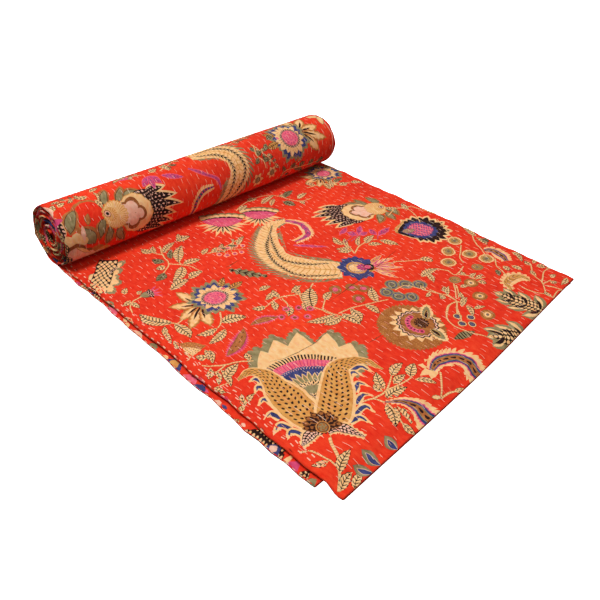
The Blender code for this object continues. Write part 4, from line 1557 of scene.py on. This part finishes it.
def showMark(finish, number, below):
    # One slot of the stack: its outline, its line, and dots, stripes, rings or veins inside.
    place = finish.attribute(f"place{number}")
    filling = finish.attribute(f"filling{number}")
    ahead, side, shape = finish.split(place)
    count, edge, jag = finish.split(finish.attribute(f"form{number}"))
    rows, shear, either = finish.split(finish.attribute(f"rhythm{number}"))
    size = finish.split(filling)[2]
    isDisc = shape > discShape - 0.5
    isLeaf = shape < leafShape + 0.5
    radius = finish.vector("LENGTH", finish.vector("MULTIPLY", place, (1, 1, 0)), output="Value")
    turn = side.math("ARCTAN2", ahead) / (2 * math.pi)
    along = finish.mix(isDisc, ahead, turn)
    across = finish.mix(isDisc, abs(side), radius)
    taper = finish.mix(isLeaf, ahead.math("COMPARE", 0.5, 0.5), 4 * ahead * (1 - ahead))
    beat = along * count
    depth = finish.mix(isDisc, taper, 1.0) - across - jag * beat.math("PINGPONG", 0.5)
    step = across * rows
    grid = finish.node("CombineXYZ", {}, (beat - shear * step, step))
    off = finish.vector("ABSOLUTE", finish.vector("WRAP", grid, (0.5, 0.5, 0.5), (-0.5, -0.5, -0.5)))
    off = finish.vector("MULTIPLY", off, filling)
    acrossOff, alongOff = finish.split(off)[:2]
    spot = finish.vector("LENGTH", off, output="Value")
    inPattern = finish.mix(either, spot, acrossOff.math("MINIMUM", alongOff)) < size
    colour = finish.blend(inPattern, finish.attribute(f"fill{number}"), finish.attribute(f"detail{number}"))
    colour = finish.blend(depth < edge, colour, finish.attribute(f"line{number}"))
    return finish.blend(depth > 0.0001, below, colour)


cotton = {
    "ground": (0.92, 0.042, 0.0130),
    "groundDeep": (0.72, 0.034, 0.0130),
    "groundWarm": (0.95, 0.058, 0.0150),
    "roughness": 0.86,
    "sheen": 0.02,
    "specular": 0.10,
    "thread": 0.00062,
    "worn": (0.95, 0.150, 0.070),
    "mostWorn": 0.35,
    "wrinkleShade": 2.0,
    "wrinkleHeight": 0.0021,
    "slubHeight": 0.00010,
    "weaveHeight": 0.00004,
}


def printedCotton():
    finish = Finish("printed cotton", cotton["roughness"])
    sheet = finish.node("UVMap", {"uv_map": "cloth"}, {}, "UV")
    row = finish.node("UVMap", {"uv_map": "rows"}, {}, "UV")
    across, along = finish.split(sheet)[:2]
    rowNumber = finish.split(row)[0]

    blotches = finish.noise(sheet, 21.0, 3.0)
    cloudy = finish.noise(sheet, 6.5, 2.0)
    ground = finish.blend(blotches, cotton["groundDeep"], cotton["ground"])
    colour = finish.blend((cloudy - 0.42) * 2.6, ground, cotton["groundWarm"])
    for number in range(printing["slots"]):
        colour = showMark(finish, number, colour)

    # the ink lies thinner on the threads' crowns and on the ridges between the rows
    warp = (across * (2 * math.pi / cotton["thread"])).math("SINE")
    weft = (along * (2 * math.pi / cotton["thread"])).math("SINE")
    weave = warp * weft
    slubs = finish.noise(finish.vector("MULTIPLY", sheet, (900.0, 120.0, 1.0)), 1.0, 1.0)
    ridge = abs(rowNumber.math("PINGPONG", 0.5)) * 2
    wrinkles = finish.noise(finish.vector("MULTIPLY", sheet, (170.0, 95.0, 1.0)), 1.0, 3.0, 0.62)
    onSlubs = ((slubs - 0.60) * 3.0).math("MAXIMUM", 0.0) * 0.22
    onRidges = ((wrinkles - 0.56) * ridge).math("MAXIMUM", 0.0) * 0.4
    worn = onSlubs + onRidges
    colour = finish.blend(worn.math("MINIMUM", cotton["mostWorn"]), colour, cotton["worn"])
    # painted shade and light: the cloth is darker where the wrinkle noise that raises the bump dips and
    # lighter where it rises, with a faint checker of painted shade on the woven threads
    shade = (wrinkles - 0.53) * cotton["wrinkleShade"] + weave * 0.05
    colour = finish.blend(0.55, colour, finish.node("CombineColor", {}, (shade + 0.5,) * 3), "SOFT_LIGHT")
    finish.give("Base Color", colour)
    finish.give("Roughness", cotton["roughness"] - 0.12 + 0.2 * slubs)
    finish.give("Sheen Weight", cotton["sheen"])
    finish.give("Specular IOR Level", cotton["specular"])

    height = wrinkles * cotton["wrinkleHeight"] + slubs * cotton["slubHeight"]
    height = height + weave * cotton["weaveHeight"]
    bump = finish.node("Bump", {}, {"Strength": 1.0, "Distance": 1.0, "Height": height}, "Normal")
    finish.give("Normal", bump)
    return finish.material


def addMap(name, values):
    layer = cloth.data.uv_layers.new(name=name)
    layer.data.foreach_set("uv", values.astype(np.float32).ravel())


bakeRoom = {
    # share of the picture per metre: what shows gets most of it
    "layers": (1.0, 0.12, 0.12, 1.0),
    "folds": (3.0, 1.2, 3.0),
    "along": ((0.0, 0.0), (0.57, 0.57), (0.89, 0.87), (1.53, 1.02)),
    "front": 0.86,
    "back": 0.11,
    "backFrom": 0.88,
    "margin": 0.008,
    "rim": 0.6,  # of the margin
}


def addBakeMap():
    # One place in the picture for each face: the printed side, the rims beside it, then the back.
    stops, places = [0.0], [0.0]
    for layer in range(4):
        stops.append(stops[-1] + layerRun)
        places.append(places[-1] + layerRun * bakeRoom["layers"][layer])
        if layer < 3:
            stops.append(stops[-1] + foldRun)
            places.append(places[-1] + foldRun * bakeRoom["folds"][layer])
    margin = bakeRoom["margin"]
    u = np.interp(flat[:, 0], stops, np.array(places) / places[-1])
    run = (1 - 2 * margin) * np.interp(flat[:, 1], *zip(*bakeRoom["along"]))
    v = margin + run / bakeRoom["along"][-1][1]
    corners, points = printFaces(cloth)
    behind = skinSide[points] < 0
    isBack = behind.all(axis=1)
    isRim = ~isBack & behind.any(axis=1)
    toU = margin + bakeRoom["front"] * u[points]
    toU[isBack] = (bakeRoom["backFrom"] + bakeRoom["back"] * u[points])[isBack]
    toV = v[points]
    rim = bakeRoom["rim"] * margin
    outwardU = np.where(flat[points][:, :, 0] < clothAcross / 2, -rim, rim)
    outwardV = np.where(flat[points][:, :, 1] < clothAlong / 2, -rim, rim)
    endRim = isRim & (np.ptp(flat[points][:, :, 1], axis=1) < 1e-6)
    sideRim = isRim & ~endRim
    toU = toU + np.where(sideRim[:, None] & behind, outwardU, 0)
    toV = toV + np.where(endRim[:, None] & behind, outwardV, 0)
    values = np.zeros((len(cloth.data.loops), 2))
    values[corners] = np.stack((toU, toV), -1)
    addMap("OFBake", values)
    print("room for baking: back", int(isBack.sum()), "rims", int(isRim.sum()), "of", len(isBack), "faces")


stackMarks(cloth)
pointOf = readAll(cloth.data.loops, "vertex_index", 1, np.int32)
addMap("cloth", np.stack((flatAcross, flat[:, 1]), -1)[pointOf])
addMap("rows", np.stack((flatRows, flat[:, 1]), -1)[pointOf])
addBakeMap()
cloth.data.materials.append(printedCotton())
print("cotton printed and given its weave")

stitching = {
    "length": 0.0128,
    "width": 0.00056,
    "height": 0.00042,
    "sides": 6,
    "cuts": 3,
    "sink": 0.00045,  # how deep its ends go in
    "shortest": 0.40,
    "longer": 0.80,
    "uneven": 0.16,  # of a period
    "lean": 0.0014,
    "hem": 0.003,
    "colour": (0.86, 0.20, 0.10),
    "colourPale": (0.97, 0.76, 0.58),
}


def pickTurn(number, seed):
    # Uneven values from 0 to 1, the same in each run.
    return np.modf(np.abs(np.sin(number * 12.9898 + seed * 78.233) * 43758.5453))[0]


def stitchRows(name, firstRow, rowCount, firstAlong, count):
    # an array of small rods, each of which is then bent to its own place
    apart = 4
    bpy.ops.object.select_all(action="DESELECT")
    bpy.ops.mesh.primitive_cylinder_add(
        vertices=stitching["sides"], radius=0.5, depth=1.0, end_fill_type="TRIFAN",
        rotation=(math.pi / 2, 0, 0),
    )
    stitches = bpy.context.object
    stitches.name = name
    bpy.ops.object.transform_apply(location=False, rotation=True, scale=False)
    bpy.ops.object.mode_set(mode="EDIT")
    selectEdges(stitches, edgeFacts(stitches)[1][:, 1] > 0.9)
    bpy.ops.mesh.subdivide(number_cuts=stitching["cuts"], ngon=False)
    bpy.ops.object.mode_set(mode="OBJECT")
    for label, number, step in (("along", count, (0, apart, 0)), ("rows", rowCount, (apart, 0, 0))):
        modifier = stitches.modifiers.new(label, "ARRAY")
        modifier.count = number
        modifier.use_relative_offset = False
        modifier.use_constant_offset = True
        modifier.constant_offset_displace = step
        bpy.ops.object.modifier_apply(modifier=modifier.name)
    own = readAll(stitches.data.vertices, "co", 3).astype(float)
    column, line = np.rint(own[:, 0] / apart), np.rint(own[:, 1] / apart)
    wide, far, high = own[:, 0] - apart * column, own[:, 1] - apart * line, own[:, 2]
    each = column * 131 + line + firstRow
    length = stitching["length"] * (stitching["shortest"] + stitching["longer"] * pickTurn(each, 1.0))
    rows = firstRow + column
    uneven = stitching["uneven"] * (pickTurn(each, 3.0) - 0.5)
    shift = quilting["period"] * (pickTurn(column + firstRow, 2.0) + uneven)
    along = firstAlong + quilting["period"] * line + shift + far * length
    along = np.clip(along, stitching["hem"], clothAlong - stitching["hem"])
    lean = stitching["lean"] * (pickTurn(each, 4.0) - 0.5) * far
    across = rowPlace(rows, along) + lean + wide * stitching["width"] * (1.0 - 0.9 * far**2)
    arch = 1 - (2 * far) ** 4
    surface = strip["cloth"] / 2 - rowDip(rows, along)
    above = stitching["height"] * (high + 0.35) * (0.5 + 0.5 * arch)
    lift = surface + above - stitching["sink"] * (1 - arch)
    moveTo(stitches, layOnStrip(across, along, lift))
    bpy.ops.object.shade_smooth()
    return stitches


def threadCotton():
    finish = Finish("quilting thread", 0.7)
    place = finish.node("TexCoord", {}, {}, "Object")
    shade = (finish.noise(place, 46.0, 2.0) - 0.5) * 3.2 + 0.6
    fray = finish.noise(place, 1400.0, 1.0)
    finish.give("Base Color", finish.blend(shade, stitching["colour"], stitching["colourPale"]))
    finish.give("Roughness", 0.62 + 0.25 * fray)
    finish.give("Sheen Weight", 0.15)
    bump = finish.node("Bump", {}, {"Strength": 0.6, "Distance": 1.0, "Height": fray * 0.0001}, "Normal")
    finish.give("Normal", bump)
    return finish.material


topRow = 3 * (quilting["rowsPerLayer"] + 1)
shownRows = quilting["rowsPerLayer"] - 1
stitchesOnTop = stitchRows("running_stitches_top", topRow + 1, shownRows, 0.003, 29)
stitchesOnRoll = stitchRows("running_stitches_roll", 1, shownRows, 0.556, 19)
thread = threadCotton()
for stitches in (stitchesOnTop, stitchesOnRoll):
    stitches.data.materials.append(thread)
print("stitched:", len(stitchesOnTop.data.vertices) + len(stitchesOnRoll.data.vertices), "points")

for piece in (cloth, stitchesOnTop, stitchesOnRoll):
    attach(piece, "root")
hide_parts("quilt")
